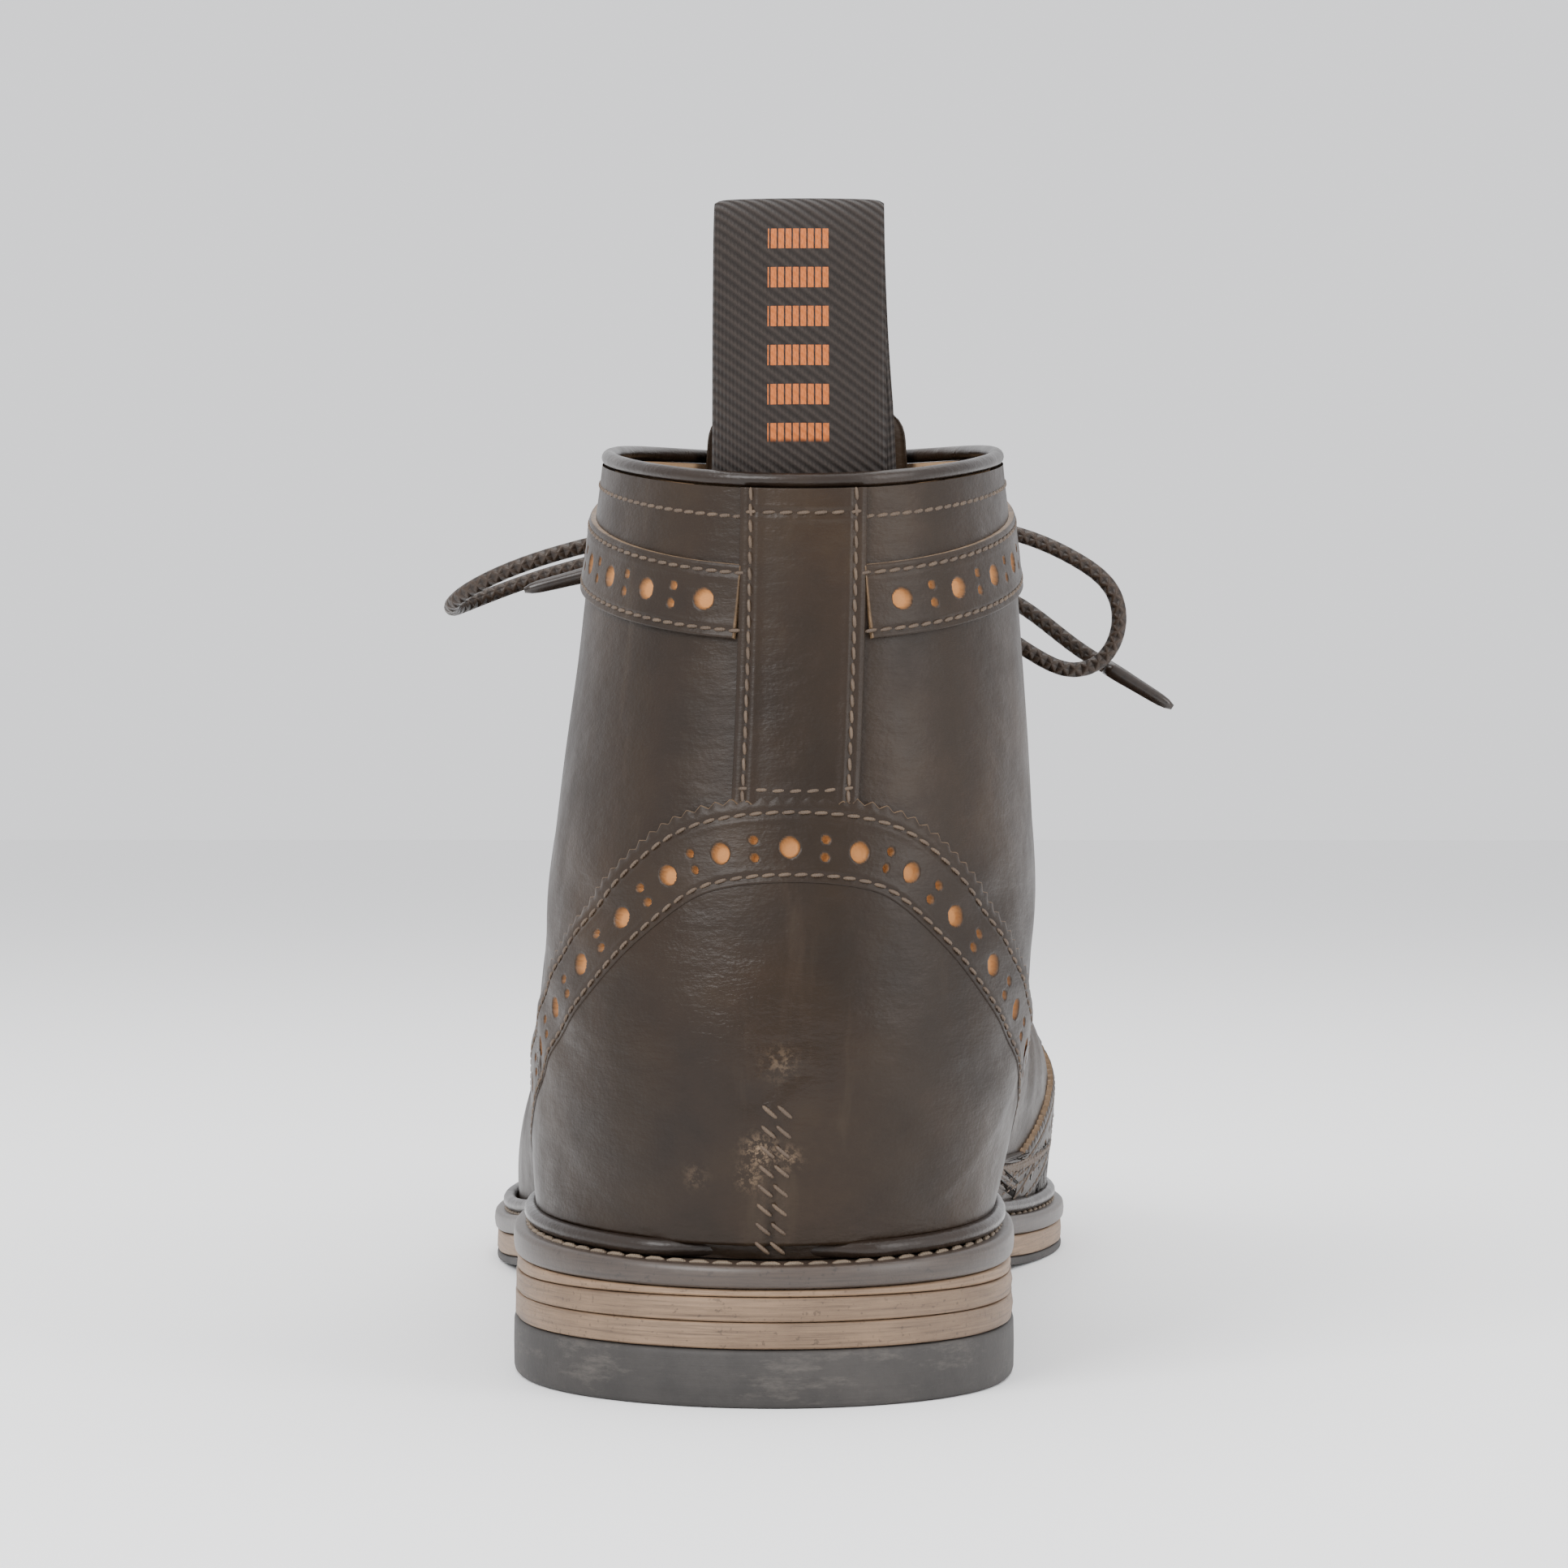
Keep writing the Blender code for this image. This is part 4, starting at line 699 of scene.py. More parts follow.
def leatherPaint(name, look):
    # pull-up leather: cloudy tone, fine grain, faint creasing, pale wear and tan cut edges
    paint, tree, shader = newPaint(name)
    where = objectPlace(tree)
    cloud = noise(tree, where, 26, 5, 0.62)
    tone = ramp(tree, cloud, ((0.30, look["dark"]), (0.55, look["mid"]), (0.78, look["light"])))
    mottle = noise(tree, where, 120, 4, 0.7)
    tone = mix(tree, maths(tree, "MULTIPLY", mottle, 0.35), tone, look["dark"])
    streaks = noise(tree, objectPlace(tree, (90, 90, 14)), 1.0, 5, 0.65)
    rub = maths(tree, "MULTIPLY", ramp(tree, streaks, ((0.60, grey(0)), (0.78, grey(1)))), look["rub"])
    tone = mix(tree, rub, tone, look["pale"])
    scuff = maths(tree, "MULTIPLY", attribute(tree, "scuff"),
                  ramp(tree, noise(tree, where, 900, 5, 0.75), ((0.47, grey(0)), (0.60, grey(1)))))
    tone = mix(tree, scuff, tone, look["scuff"])
    edge = maths(tree, "MULTIPLY", attribute(tree, "raw"),
                 ramp(tree, noise(tree, where, 700, 3, 0.6), ((0.25, grey(0.35)), (0.65, grey(1)))))
    tone = mix(tree, edge, tone, look["edge"])
    tone = mix(tree, attribute(tree, "hole"), tone, look["inside"])
    tree.links.new(tone, shader.inputs["Base Color"])
    gloss = ramp(tree, noise(tree, where, 60, 5, 0.7), ((0.30, grey(look["rough"] - 0.10)),
                                                         (0.75, grey(look["rough"] + 0.12))))
    gloss = mix(tree, attribute(tree, "hole"), gloss, grey(0.8))
    polish = attribute(tree, "polish")
    gloss = mix(tree, polish, gloss, grey(look["rough"] - 0.19))
    tree.links.new(gloss, shader.inputs["Roughness"])
    grain = node(tree, "ShaderNodeTexVoronoi", {"Vector": where, "Scale": 1500}).outputs["Distance"]
    height = maths(tree, "ADD", maths(tree, "MULTIPLY", grain, 0.5), noise(tree, where, 420, 6, 0.7))
    first = bump(tree, height, 0.30, 0.00018)
    wrinkle = noise(tree, objectPlace(tree, (70, 70, 200)), 1.0, 6, 0.62)
    second = bump(tree, wrinkle, 0.38, 0.0012, first)
    tree.links.new(bump(tree, noise(tree, where, 55, 3, 0.5), 0.28, 0.0016, second), shader.inputs["Normal"])
    shader.inputs["Specular IOR Level"].default_value = 0.22
    shader.inputs["Coat Weight"].default_value = look["coat"] * 0.4
    shader.inputs["Coat Roughness"].default_value = 0.32
    return paint


def threadPaint(name, colour, pale):
    paint, tree, shader = newPaint(name)
    where = objectPlace(tree)
    tone = mix(tree, noise(tree, where, 300, 2, 0.5), colour, pale)
    tree.links.new(tone, shader.inputs["Base Color"])
    twist = node(tree, "ShaderNodeTexWave", {"Vector": where, "Scale": 900, "Distortion": 1.5}).outputs[1]
    tree.links.new(bump(tree, twist, 0.5, 0.0001), shader.inputs["Normal"])
    shader.inputs["Roughness"].default_value = 0.6
    return paint


def stackPaint(name, pale, deep, rough, layer, gloss=0.0):
    # cut edge of leather: fibres run level, with faint layers and rubbed stains
    paint, tree, shader = newPaint(name)
    where = objectPlace(tree)
    level_ = objectPlace(tree, (60, 60, 2200))
    fibre = noise(tree, level_, 1.0, 6, 0.75)
    tone = ramp(tree, fibre, ((0.28, deep), (0.50, pale), (0.72, tuple(min(1, c * 1.35) for c in pale))))
    stain = ramp(tree, noise(tree, where, 45, 5, 0.65), ((0.35, grey(0)), (0.70, grey(1))))
    tone = mix(tree, maths(tree, "MULTIPLY", stain, 0.55), tone, deep)
    specks = ramp(tree, noise(tree, where, 1100, 2, 0.6), ((0.62, grey(0)), (0.70, grey(1))))
    tone = mix(tree, maths(tree, "MULTIPLY", specks, 0.5), tone, tuple(c * 0.4 for c in deep))
    tree.links.new(tone, shader.inputs["Base Color"])
    first = bump(tree, fibre, 0.5, layer)
    tree.links.new(bump(tree, noise(tree, where, 500, 5, 0.7), 0.4, 0.00025, first), shader.inputs["Normal"])
    shader.inputs["Roughness"].default_value = rough
    shader.inputs["Coat Weight"].default_value = gloss
    shader.inputs["Coat Roughness"].default_value = 0.3
    return paint


def rubberPaint(name):
    paint, tree, shader = newPaint(name)
    where = objectPlace(tree)
    tone = ramp(tree, noise(tree, where, 70, 6, 0.7), (
        (0.30, (0.017, 0.0148, 0.0135)), (0.75, (0.040, 0.0350, 0.0315))))
    dust = ramp(tree, noise(tree, objectPlace(tree, (60, 60, 240)), 1.0, 6, 0.75), (
        (0.55, grey(0)), (0.80, grey(1))))
    tone = mix(tree, maths(tree, "MULTIPLY", dust, 0.45), tone, (0.16, 0.14, 0.12))
    tree.links.new(tone, shader.inputs["Base Color"])
    first = bump(tree, noise(tree, where, 900, 4, 0.7), 0.35, 0.0002)
    layers = noise(tree, objectPlace(tree, (30, 30, 700)), 1.0, 4, 0.6)
    tree.links.new(bump(tree, layers, 0.35, 0.0004, first),
                   shader.inputs["Normal"])
    shader.inputs["Roughness"].default_value = 0.68
    return paint


def webbingPaint(name):
    # diagonal ribs of a twill, with a woven ladder of bars down the middle
    paint, tree, shader = newPaint(name)
    uv = node(tree, "ShaderNodeUVMap", uv_map="UVMap").outputs[0]
    parts = node(tree, "ShaderNodeSeparateXYZ", {"Vector": uv})
    across, along = parts.outputs[0], parts.outputs[1]
    slope = maths(tree, "ADD", maths(tree, "MULTIPLY", across, 0.75), along)
    wave = maths(tree, "SINE", maths(tree, "MULTIPLY", slope, 2 * math.pi / 0.0016))
    weft = maths(tree, "SINE", maths(tree, "MULTIPLY", across, 2 * math.pi / 0.00055))
    rib = maths(tree, "ADD", maths(tree, "MULTIPLY", wave, 0.5), 0.5)
    where = objectPlace(tree)
    tone = mix(tree, rib, (0.0065, 0.0045, 0.0040), (0.026, 0.0195, 0.0165))
    fuzz = maths(tree, "MULTIPLY", noise(tree, where, 800, 4, 0.7), 0.35)
    tone = mix(tree, fuzz, tone, (0.055, 0.043, 0.036))
    inStrip = maths(tree, "LESS_THAN", maths(tree, "ABSOLUTE", across), 0.0046)
    bar = maths(tree, "LESS_THAN", maths(tree, "FRACT", maths(tree, "DIVIDE", along, 0.0058)), 0.52)
    face = attribute(tree, "bars")
    thread = maths(tree, "GREATER_THAN", maths(tree, "FRACT", maths(tree, "DIVIDE", across, 0.0011)), 0.22)
    woven = maths(tree, "MULTIPLY", maths(tree, "MULTIPLY", inStrip, bar),
                  maths(tree, "MULTIPLY", face, thread))
    tone = mix(tree, woven, tone, (0.42, 0.115, 0.028))
    tree.links.new(tone, shader.inputs["Base Color"])
    height = maths(tree, "ADD", rib, maths(tree, "MULTIPLY", weft, 0.22))
    height = maths(tree, "ADD", height, maths(tree, "MULTIPLY", woven, 0.8))
    tree.links.new(bump(tree, height, 0.85, 0.00035), shader.inputs["Normal"])
    shader.inputs["Roughness"].default_value = 0.78
    shader.inputs["Sheen Weight"].default_value = 0.06
    shader.inputs["Specular IOR Level"].default_value = 0.2
    shader.inputs["Sheen Roughness"].default_value = 0.5
    return paint


def lacePaint(name, dark, pale, braided=True):
    # waxed braid: two families of strands that cross, read from the cord's own length
    paint, tree, shader = newPaint(name)
    uv = node(tree, "ShaderNodeUVMap", uv_map="UVMap").outputs[0]
    parts = node(tree, "ShaderNodeSeparateXYZ", {"Vector": uv})
    around = maths(tree, "MULTIPLY", parts.outputs[0], math.pi * 3)
    along = maths(tree, "MULTIPLY", parts.outputs[1], 2 * math.pi / 0.0022)
    one = maths(tree, "SINE", maths(tree, "ADD", along, around))
    two = maths(tree, "SINE", maths(tree, "SUBTRACT", along, around))
    weave = maths(tree, "MAXIMUM", one, two)
    tone = mix(tree, maths(tree, "MULTIPLY_ADD", weave, 0.4), dark, pale)
    where = objectPlace(tree)
    tone = mix(tree, maths(tree, "MULTIPLY", noise(tree, where, 160, 4, 0.6), 0.5), tone, dark)
    tree.links.new(tone, shader.inputs["Base Color"])
    if braided:
        tree.links.new(bump(tree, weave, 0.75, 0.00022), shader.inputs["Normal"])
    shader.inputs["Roughness"].default_value = 0.42 if braided else 0.28
    shader.inputs["Coat Weight"].default_value = 0.08 if braided else 0.5
    shader.inputs["Specular IOR Level"].default_value = 0.25
    shader.inputs["Coat Roughness"].default_value = 0.3
    return paint


def metalPaint(name):
    paint, tree, shader = newPaint(name)
    where = objectPlace(tree)
    tone = ramp(tree, noise(tree, where, 400, 5, 0.7), (
        (0.3, (0.045, 0.030, 0.018)), (0.7, (0.25, 0.17, 0.085))))
    tree.links.new(tone, shader.inputs["Base Color"])
    tree.links.new(bump(tree, noise(tree, where, 1500, 3, 0.6), 0.25, 0.0001), shader.inputs["Normal"])
    shader.inputs["Metallic"].default_value = 0.9
    shader.inputs["Roughness"].default_value = 0.4
    return paint


upperLook = {
    "dark": (0.0088, 0.0045, 0.0020), "mid": (0.0200, 0.0110, 0.0052), "light": (0.0390, 0.0228, 0.0116),
    "pale": (0.058, 0.040, 0.025), "scuff": (0.27, 0.185, 0.115), "edge": (0.27, 0.170, 0.092),
    "inside": (0.42, 0.185, 0.062), "rough": 0.44, "rub": 0.30, "coat": 0.12,
}
trimLook = dict(upperLook, dark=(0.008, 0.0045, 0.003), mid=(0.017, 0.010, 0.0062),
                light=(0.032, 0.0195, 0.012), rough=0.33, rub=0.10, coat=0.45)
tongueLook = dict(upperLook, rub=0.15, rough=0.50)
liningLook = {
    "dark": (0.30, 0.185, 0.100), "mid": (0.40, 0.260, 0.150), "light": (0.50, 0.345, 0.215),
    "pale": (0.56, 0.41, 0.27), "scuff": (0.55, 0.42, 0.29), "edge": (0.40, 0.27, 0.16),
    "inside": (0.42, 0.20, 0.08), "rough": 0.62, "rub": 0.25, "coat": 0.0,
}
upperPaint = leatherPaint("waxed leather", upperLook)
trimPaint = leatherPaint("edge leather", trimLook)
tonguePaint = leatherPaint("tongue leather", tongueLook)
liningPaint = leatherPaint("lining leather", liningLook)
darkThread = threadPaint("dark thread", (0.030, 0.018, 0.011), (0.115, 0.075, 0.045))
weltThread = threadPaint("welt thread", (0.060, 0.040, 0.026), (0.20, 0.15, 0.10))
weltPaint = stackPaint("welt leather", (0.046, 0.031, 0.022), (0.016, 0.010, 0.007), 0.45, 0.0001, 0.2)
midPaint = stackPaint("midsole leather", (0.235, 0.150, 0.088), (0.095, 0.056, 0.032), 0.55, 0.0002)
liftPaint = stackPaint("lift leather", (0.185, 0.118, 0.070), (0.062, 0.036, 0.021), 0.55, 0.0003)
rubber = rubberPaint("heel rubber")
webbing = webbingPaint("webbing")
braid = lacePaint("waxed braid", (0.010, 0.0058, 0.0036), (0.046, 0.0285, 0.0180))
tipPaint = lacePaint("lace tip", (0.011, 0.0062, 0.0038), (0.022, 0.0130, 0.0080), False)
brass = metalPaint("antique brass")
print("finishes ready")


# Upper: outer skin and lining
skin = {"rows": 250, "columns": 130, "insole": 3.0 * mm}


def sideGrid(turn, side, columns, inset=0.0):
    # for each ring, even distances from its low end to the throat or the ridge
    room = ringLength(turn, side) - throatHalf(turn) - inset
    share = np.linspace(0, 1, columns)
    climb, length = ringTable(turn, side)
    rows = np.array([np.interp(share * r, row, climb) for r, row in zip(room, length)])
    rows[:, 0] = side * 1e-9
    closed = turn <= last["throatTurn"]
    rows[closed, -1] = side
    return np.repeat(turn[:, None], columns, axis=1), rows


def bothSides(name, offset, paint, values, turn, outward):
    points = []
    groups = []
    extra = {key: [] for key in values}
    for side in (-1.0, 1.0):
        turns, climbs = sideGrid(turn, side, skin["columns"])
        surface = ringPoint(turns, climbs)
        normal = normalAt(turns, climbs)
        lift = offset + relief(surface) + seamRelief(surface)
        placed = surface + normal * lift[..., None]
        if offset < 0:
            floor = seatHeight(placed[..., 1] + heelCentre) + last["gap"]
            placed[..., 2] = np.maximum(placed[..., 2], floor)
        flip = facesOut(placed, normal) != outward
        first = sum(len(p) for p in points)
        groups.append(gridQuads(*turns.shape, flip=not flip) + first)
        points.append(placed.reshape(-1, 3))
        for key, maker in values.items():
            extra[key].append(maker(surface).ravel())
    extra = {key: np.concatenate(parts) for key, parts in extra.items()}
    return makeMesh(name, np.vstack(points), groups, paint, extra, merge=1e-6)


def spots(places):
    # soft round patches at given points: the sum of bells of distance
    def at(points):
        total = np.zeros(points.shape[:-1])
        for centre, wide, strong in places:
            away = np.linalg.norm(points - np.array(centre) * mm, axis=-1) / (wide * mm)
            total = total + strong * np.exp(-away ** 2)
        return np.clip(total, 0, 1)
    return at


skinTurns = np.concatenate([
    0.32 * (1 - np.cos(np.linspace(0.03, math.pi / 2, 70))), np.linspace(0.32, 1.0, 95)[1:],
    np.linspace(1.0, 2.0, 90)[1:]])
upperSkin = bothSides("upper_skin", 0.0, upperPaint, {
    "scuff": spots((((0, -38, 60), 6, 0.2),)), "polish": spots((((0, -38, 66), 14, 0.5),))},
    skinTurns, True)
place(upperSkin, "waxed_leather", "upper")
lining = bothSides("lining", -last["wall"], liningPaint, {}, skinTurns[14::2], False)
place(lining, "lining_leather")
print("upper ready")


# Counter, toe cap and collar bands: punched strips along an edge, with a plain field behind
punch = {
    "pitch": 11.2 * mm, "big": 1.42 * mm, "small": 0.52 * mm, "pair": 1.35 * mm, "soft": 0.34 * mm,
    "tooth": 2.3 * mm, "toothDeep": 0.85 * mm, "overlay": 1.25 * mm, "band": 0.95 * mm,
    "groove": 0.16 * mm, "step": 0.28 * mm,
}


def punchedHoles(start, end, middle):
    # big holes at even pitch from the middle, a pair of small ones halfway between
    holes = []
    count = int(max(middle - start, end - middle) / punch["pitch"]) + 1
    for k in range(-count, count + 1):
        s = middle + k * punch["pitch"]
        half = s + punch["pitch"] / 2
        if start + punch["big"] * 1.6 < s < end - punch["big"] * 1.6:
            holes.append((s, 0, punch["big"]))
        if start + punch["big"] < half < end - punch["big"]:
            holes.append((half, -punch["pair"], punch["small"]))
            holes.append((half, punch["pair"], punch["small"]))
    return holes


def stitchGroove(across, rows):
    # narrow channel under each stitch row, with the leather drawn up on both sides
    total = np.zeros_like(across)
    for row in rows:
        away = (across - row) / (0.42 * mm)
        total += 0.55 * np.exp(-((abs(away) - 2.2) / 1.0) ** 2) - np.exp(-away ** 2)
    return total * punch["groove"]


def footRoom(turn, climb):
    # distance along the ring from its low end up to each place of a curve on one side
    table, length = ringTable(turn, float(np.sign(climb[len(climb) // 2])), 200)
    table = np.broadcast_to(abs(table), length.shape)
    return np.array([np.interp(abs(c), row, long) for c, row, long in zip(climb, table, length)])


def gimpedStrip(name, turn, climb, sign, width, holeRow, rows, thick, gimped, paint, holes=None,
                middle=0.5, rawSides=(1, 0, 1, 1), tapered=False):
    # strip marched inward from an edge curve; the edge's teeth are a triangle wave along it
    turn, climb, along = evenCurve(turn, climb, punch["step"])
    tooth = abs(((along / punch["tooth"]) % 1) - 0.5) * 2
    reachOut = tooth * punch["toothDeep"] if gimped else np.zeros_like(along)
    steps = np.concatenate([[0, 0.12, 0.3, 0.6, 0.95], np.arange(1.3, width / mm + 0.01, 0.29)]) * mm
    shrink = np.ones_like(along)
    if tapered:
        shrink = np.clip((footRoom(turn, climb) - 1.5 * mm) / width, 0.12, 1)
    across = steps[:, None] * shrink[None]
    across = across - reachOut[None] * np.clip(1 - steps[:, None] / (1.3 * mm), 0, 1)
    turns, climbs = march(turn, climb, across, sign)
    acrossGrid = steps[:, None] * shrink[None]
    alongGrid = np.repeat(along[None], len(steps), axis=0)
    if holes is None:
        holes = punchedHoles(along[0], along[-1], along[-1] * middle)
    holes = [(s, holeRow + d, r) for s, d, r in holes]
    depth, stain = pits(alongGrid, acrossGrid, holes, thick * 0.92, punch["soft"])
    edge = 0.22 * mm * np.exp(-(acrossGrid / (0.35 * mm)) ** 2)
    lift = thick - edge + stitchGroove(acrossGrid, rows) - depth
    strip = leatherPiece(name, turns, climbs, lift, thick + 0.35 * mm, paint, {"hole": stain},
                         rawSides)
    for row in rows:
        k = abs(acrossGrid - row).argmin(0)
        whole = np.flatnonzero(shrink * width > row + 0.6 * mm)
        stitchRow(turns[k[whole], whole], climbs[k[whole], whole], thick - 0.04 * mm, 2.35 * mm)
    return strip


def underStrip(points, edgePoints, width, thick):
    # the field behind a strip sinks below it near the strip's outer edge
    flat = points.reshape(-1, 3)
    away = np.full(len(flat), 1.0)
    for part in np.array_split(edgePoints[::4], 6):
        away = np.minimum(away, np.linalg.norm(flat[:, None] - part[None], axis=2).min(1))
    share = np.clip((width - 0.9 * mm - away.reshape(points.shape[:-1])) / (1.2 * mm), 0, 1)
    return thick - 0.05 * mm - share * (thick + 0.25 * mm)


overlayFoot = 2 * soleBuild["beadRadius"] + 5 * last["gap"]

# depth share, height share of the counter's top edge
counterRows = ((0.00, 1.000), (0.04, 0.965), (0.10, 0.880), (0.20, 0.740),
               (0.35, 0.580), (0.55, 0.390), (0.80, 0.190), (1.00, 0.075))
counter = {"back": 89.5 * mm, "reach": 96 * mm, "width": 12.6 * mm, "holes": 7.1 * mm,
           "rows": (2.0 * mm, 11.3 * mm)}


def counterPlaces(position, share):
    # position -1..1 round the heel, share 0 at the foot and 1 at the arched top edge
    away = counter["reach"] * position ** 2
    seat = seatHeight(featherBack)
    rise = spline([row[0] for row in counterRows], [row[1] for row in counterRows])
    top = seat + (counter["back"] - seat) * rise(position ** 2)
    low = seatHeight(featherBack + away) + overlayFoot - 1.4 * mm
    height = low + (top - low) * share
    return placeAt(backDepthAt(height) + away, height, np.where(position < 0, -1.0, 1.0))


position = np.linspace(-1, 1, 401)
counterEdge = counterPlaces(position, 1.0)
counterStrip = gimpedStrip(
    "counter_edge", *counterEdge, -1, counter["width"], counter["holes"], counter["rows"],
    punch["overlay"], True, upperPaint)
counterField = np.meshgrid(np.linspace(-1, 1, 330), np.linspace(0, 0.985, 120))
fieldTurn, fieldClimb = counterPlaces(*counterField)
fieldPoints = ringPoint(fieldTurn, fieldClimb)
fieldLift = underStrip(fieldPoints, ringPoint(*counterEdge), counter["width"], punch["overlay"])
fieldLift = fieldLift + seamRelief(fieldPoints)
heelScuffs = spots((
    ((0.5, -39, 38), 2.0, 0.62), ((-1.0, -39, 34), 1.6, 0.5), ((4.6, -39, 37), 1.5, 0.45),
    ((3.5, -40, 51), 2.2, 0.22), ((2.0, -40, 30), 1.8, 0.35), ((-9, -37, 34), 1.6, 0.2)))
heelShine = spots((((0, -40, 60), 11, 1.0), ((6, -40, 49), 7, 0.8), ((-14, -35, 72), 9, 0.5)))
counterField = leatherPiece(
    "heel_counter_leather", fieldTurn, fieldClimb, fieldLift, punch["overlay"] + 0.4 * mm, upperPaint,
    {"scuff": heelScuffs(fieldPoints), "polish": heelShine(fieldPoints)}, (0, 0, 0, 0))
place(counterField, "waxed_leather", "heel_counter")
place(counterStrip, "waxed_leather")

# cross stitches of the back seam
seamTurn = np.linspace(backSeam["low"] + 0.006, backSeam["high"] - 0.01, 60)
for shift in (-0.010, 0.010):
    stitchRow(seamTurn, np.full(60, shift), punch["overlay"] + 0.02 * mm, 2.6 * mm, "seam")
print("counter ready")

# Back strip: raised edges with a stitch row inside each, and gimped at its foot
strip = {"width": 18.8 * mm, "row": 1.7 * mm, "top": 3.6 * mm}
stripTurn = np.linspace(turnAtHeight(counter["back"] - 0.6 * mm), 2.0, 200)
acrossStrip = np.concatenate([[-0.5, -0.49, -0.475, -0.45], np.linspace(-0.43, 0.43, 60),
                              [0.45, 0.475, 0.49, 0.5]]) * strip["width"]
stripClimbs = np.zeros((len(stripTurn), len(acrossStrip)))
for side in (-1.0, 1.0):
    chosen = np.sign(acrossStrip) == side
    climb, length = ringTable(stripTurn, side, 400)
    for i in range(len(stripTurn)):
        stripClimbs[i, chosen] = np.interp(abs(acrossStrip[chosen]), length[i], climb)
stripTurns = np.repeat(stripTurn[:, None], len(acrossStrip), axis=1)
stripPoints = ringPoint(stripTurns, stripClimbs)
downStrip = lengthAlong(ringPoint(stripTurn, 0 * stripTurn))
fromTop = (downStrip[-1] - downStrip)[:, None] + 0 * acrossStrip[None]
edgeDistance = strip["width"] / 2 - abs(acrossStrip)[None] + 0 * fromTop
tooth = abs(((acrossStrip / punch["tooth"] + 0.5) % 1) - 0.5) * 2 * punch["toothDeep"]
near = np.clip(1 - downStrip / (2.2 * mm), 0, 1)[:, None]
stripTurns = stripTurns - (near * tooth[None]) / (last["collarBack"] - 0.026)
rounding = 0.25 * mm * np.exp(-(edgeDistance / (0.5 * mm)) ** 2)
grooves = stitchGroove(edgeDistance, (strip["row"],)) + stitchGroove(fromTop, (strip["top"],)) * (
    edgeDistance > strip["row"])
puff = 0.35 * mm * np.exp(-(((edgeDistance - strip["row"]) - 1.1 * mm) / (0.8 * mm)) ** 2)
stripLift = punch["band"] + 0.15 * mm - rounding + grooves + 0.5 * puff
backStrip = leatherPiece("back_strip_leather", stripTurns, stripClimbs, stripLift, 1.4 * mm, upperPaint,
                         {"polish": spots((((9, -34, 131), 6, 0.9), ((5, -34, 112), 7, 0.4)))(stripPoints)},
                         (1, 0, 0, 0))
place(backStrip, "waxed_leather", "back_strip")
for side in (-1.0, 1.0):
    climb = climbAt(stripTurn, strip["width"] / 2 - strip["row"], side)
    stitchRow(stripTurn[3:-4], climb[3:-4], punch["band"] + 0.12 * mm, 2.35 * mm)
rowTurn = np.interp(strip["top"], fromTop[::-1, 0], stripTurn[::-1])
inside = abs(acrossStrip) < strip["width"] / 2 - strip["row"]
stitchRow(np.full(inside.sum(), rowTurn), stripClimbs[-8][inside], punch["band"] + 0.1 * mm, 2.35 * mm)
footTurn = np.interp(1.9 * mm, downStrip, stripTurn)
stitchRow(np.full(inside.sum(), footTurn), stripClimbs[8][inside], punch["band"] + 0.1 * mm, 2.35 * mm)
print("back strip ready")

# Collar bands: a punched strip between two stitch rows on each side of the ankle
collar = {"drop": 11.6 * mm, "width": 11.4 * mm, "holes": 5.7 * mm, "first": 5.2 * mm,
          "facing": 21 * mm, "rows": (1.3 * mm, 10.1 * mm)}
collarTurn = turnAtHeight(last["collarBack"] - collar["drop"])
for name, nodeName, side in (("collar_band_outer_leather", "collar_band_outer", -1.0),
                          ("collar_band_inner_leather", "collar_band_inner", 1.0)):
    room = float(ringLength(collarTurn, side)[0]) - float(throatHalf(collarTurn)) - collar["facing"]
    away = np.linspace(strip["width"] / 2 - 0.3 * mm, room, 300)
    climb = climbAt(np.full(300, collarTurn), away, side)
    length = room - strip["width"] / 2
    holes = []
    for k in range(int(length / punch["pitch"]) + 1):
        s = collar["first"] + k * punch["pitch"]
        if s < length - 2 * mm:
            holes.append((s, 0, punch["big"]))
        if s + punch["pitch"] / 2 < length - 2 * mm:
            holes += [(s + punch["pitch"] / 2, -punch["pair"], punch["small"]),
                      (s + punch["pitch"] / 2, punch["pair"], punch["small"])]
    band = gimpedStrip(name, np.full(300, collarTurn), climb, -side, collar["width"],
                             collar["holes"], collar["rows"], punch["band"], False, upperPaint, holes)
    place(band, "waxed_leather", nodeName)
print("collar bands ready")

# Toe cap: wings that run back along the sides, punched along their edge
cap = {"width": 12.6 * mm, "holes": 7.1 * mm, "rows": (2.0 * mm, 11.3 * mm), "foot": 3.2 * mm}
wingTurn = spline((0.0, 0.25, 0.5, 0.75, 1.0), (0.268, 0.272, 0.300, 0.38, 0.52))


def capPlaces(position, share):
    # share 0 at the toe to 1 at the winged edge, position from the ridge (0) to the foot (-1, 1)
    turn = wingTurn(np.sqrt(position ** 2 + 0.003) - 0.02) * share
    turns = np.zeros(position.shape)
    climbs = np.zeros(position.shape)
    for side in (-1.0, 1.0):
        chosen = (position < 0) == (side < 0)
        flat = np.maximum(turn[chosen].ravel(), 0.0008)
        room = ringLength(flat, side) - cap["foot"]
        turns[chosen] = flat
        climbs[chosen] = climbAt(flat, room * abs(position[chosen]).ravel(), side, True)
    return turns, climbs


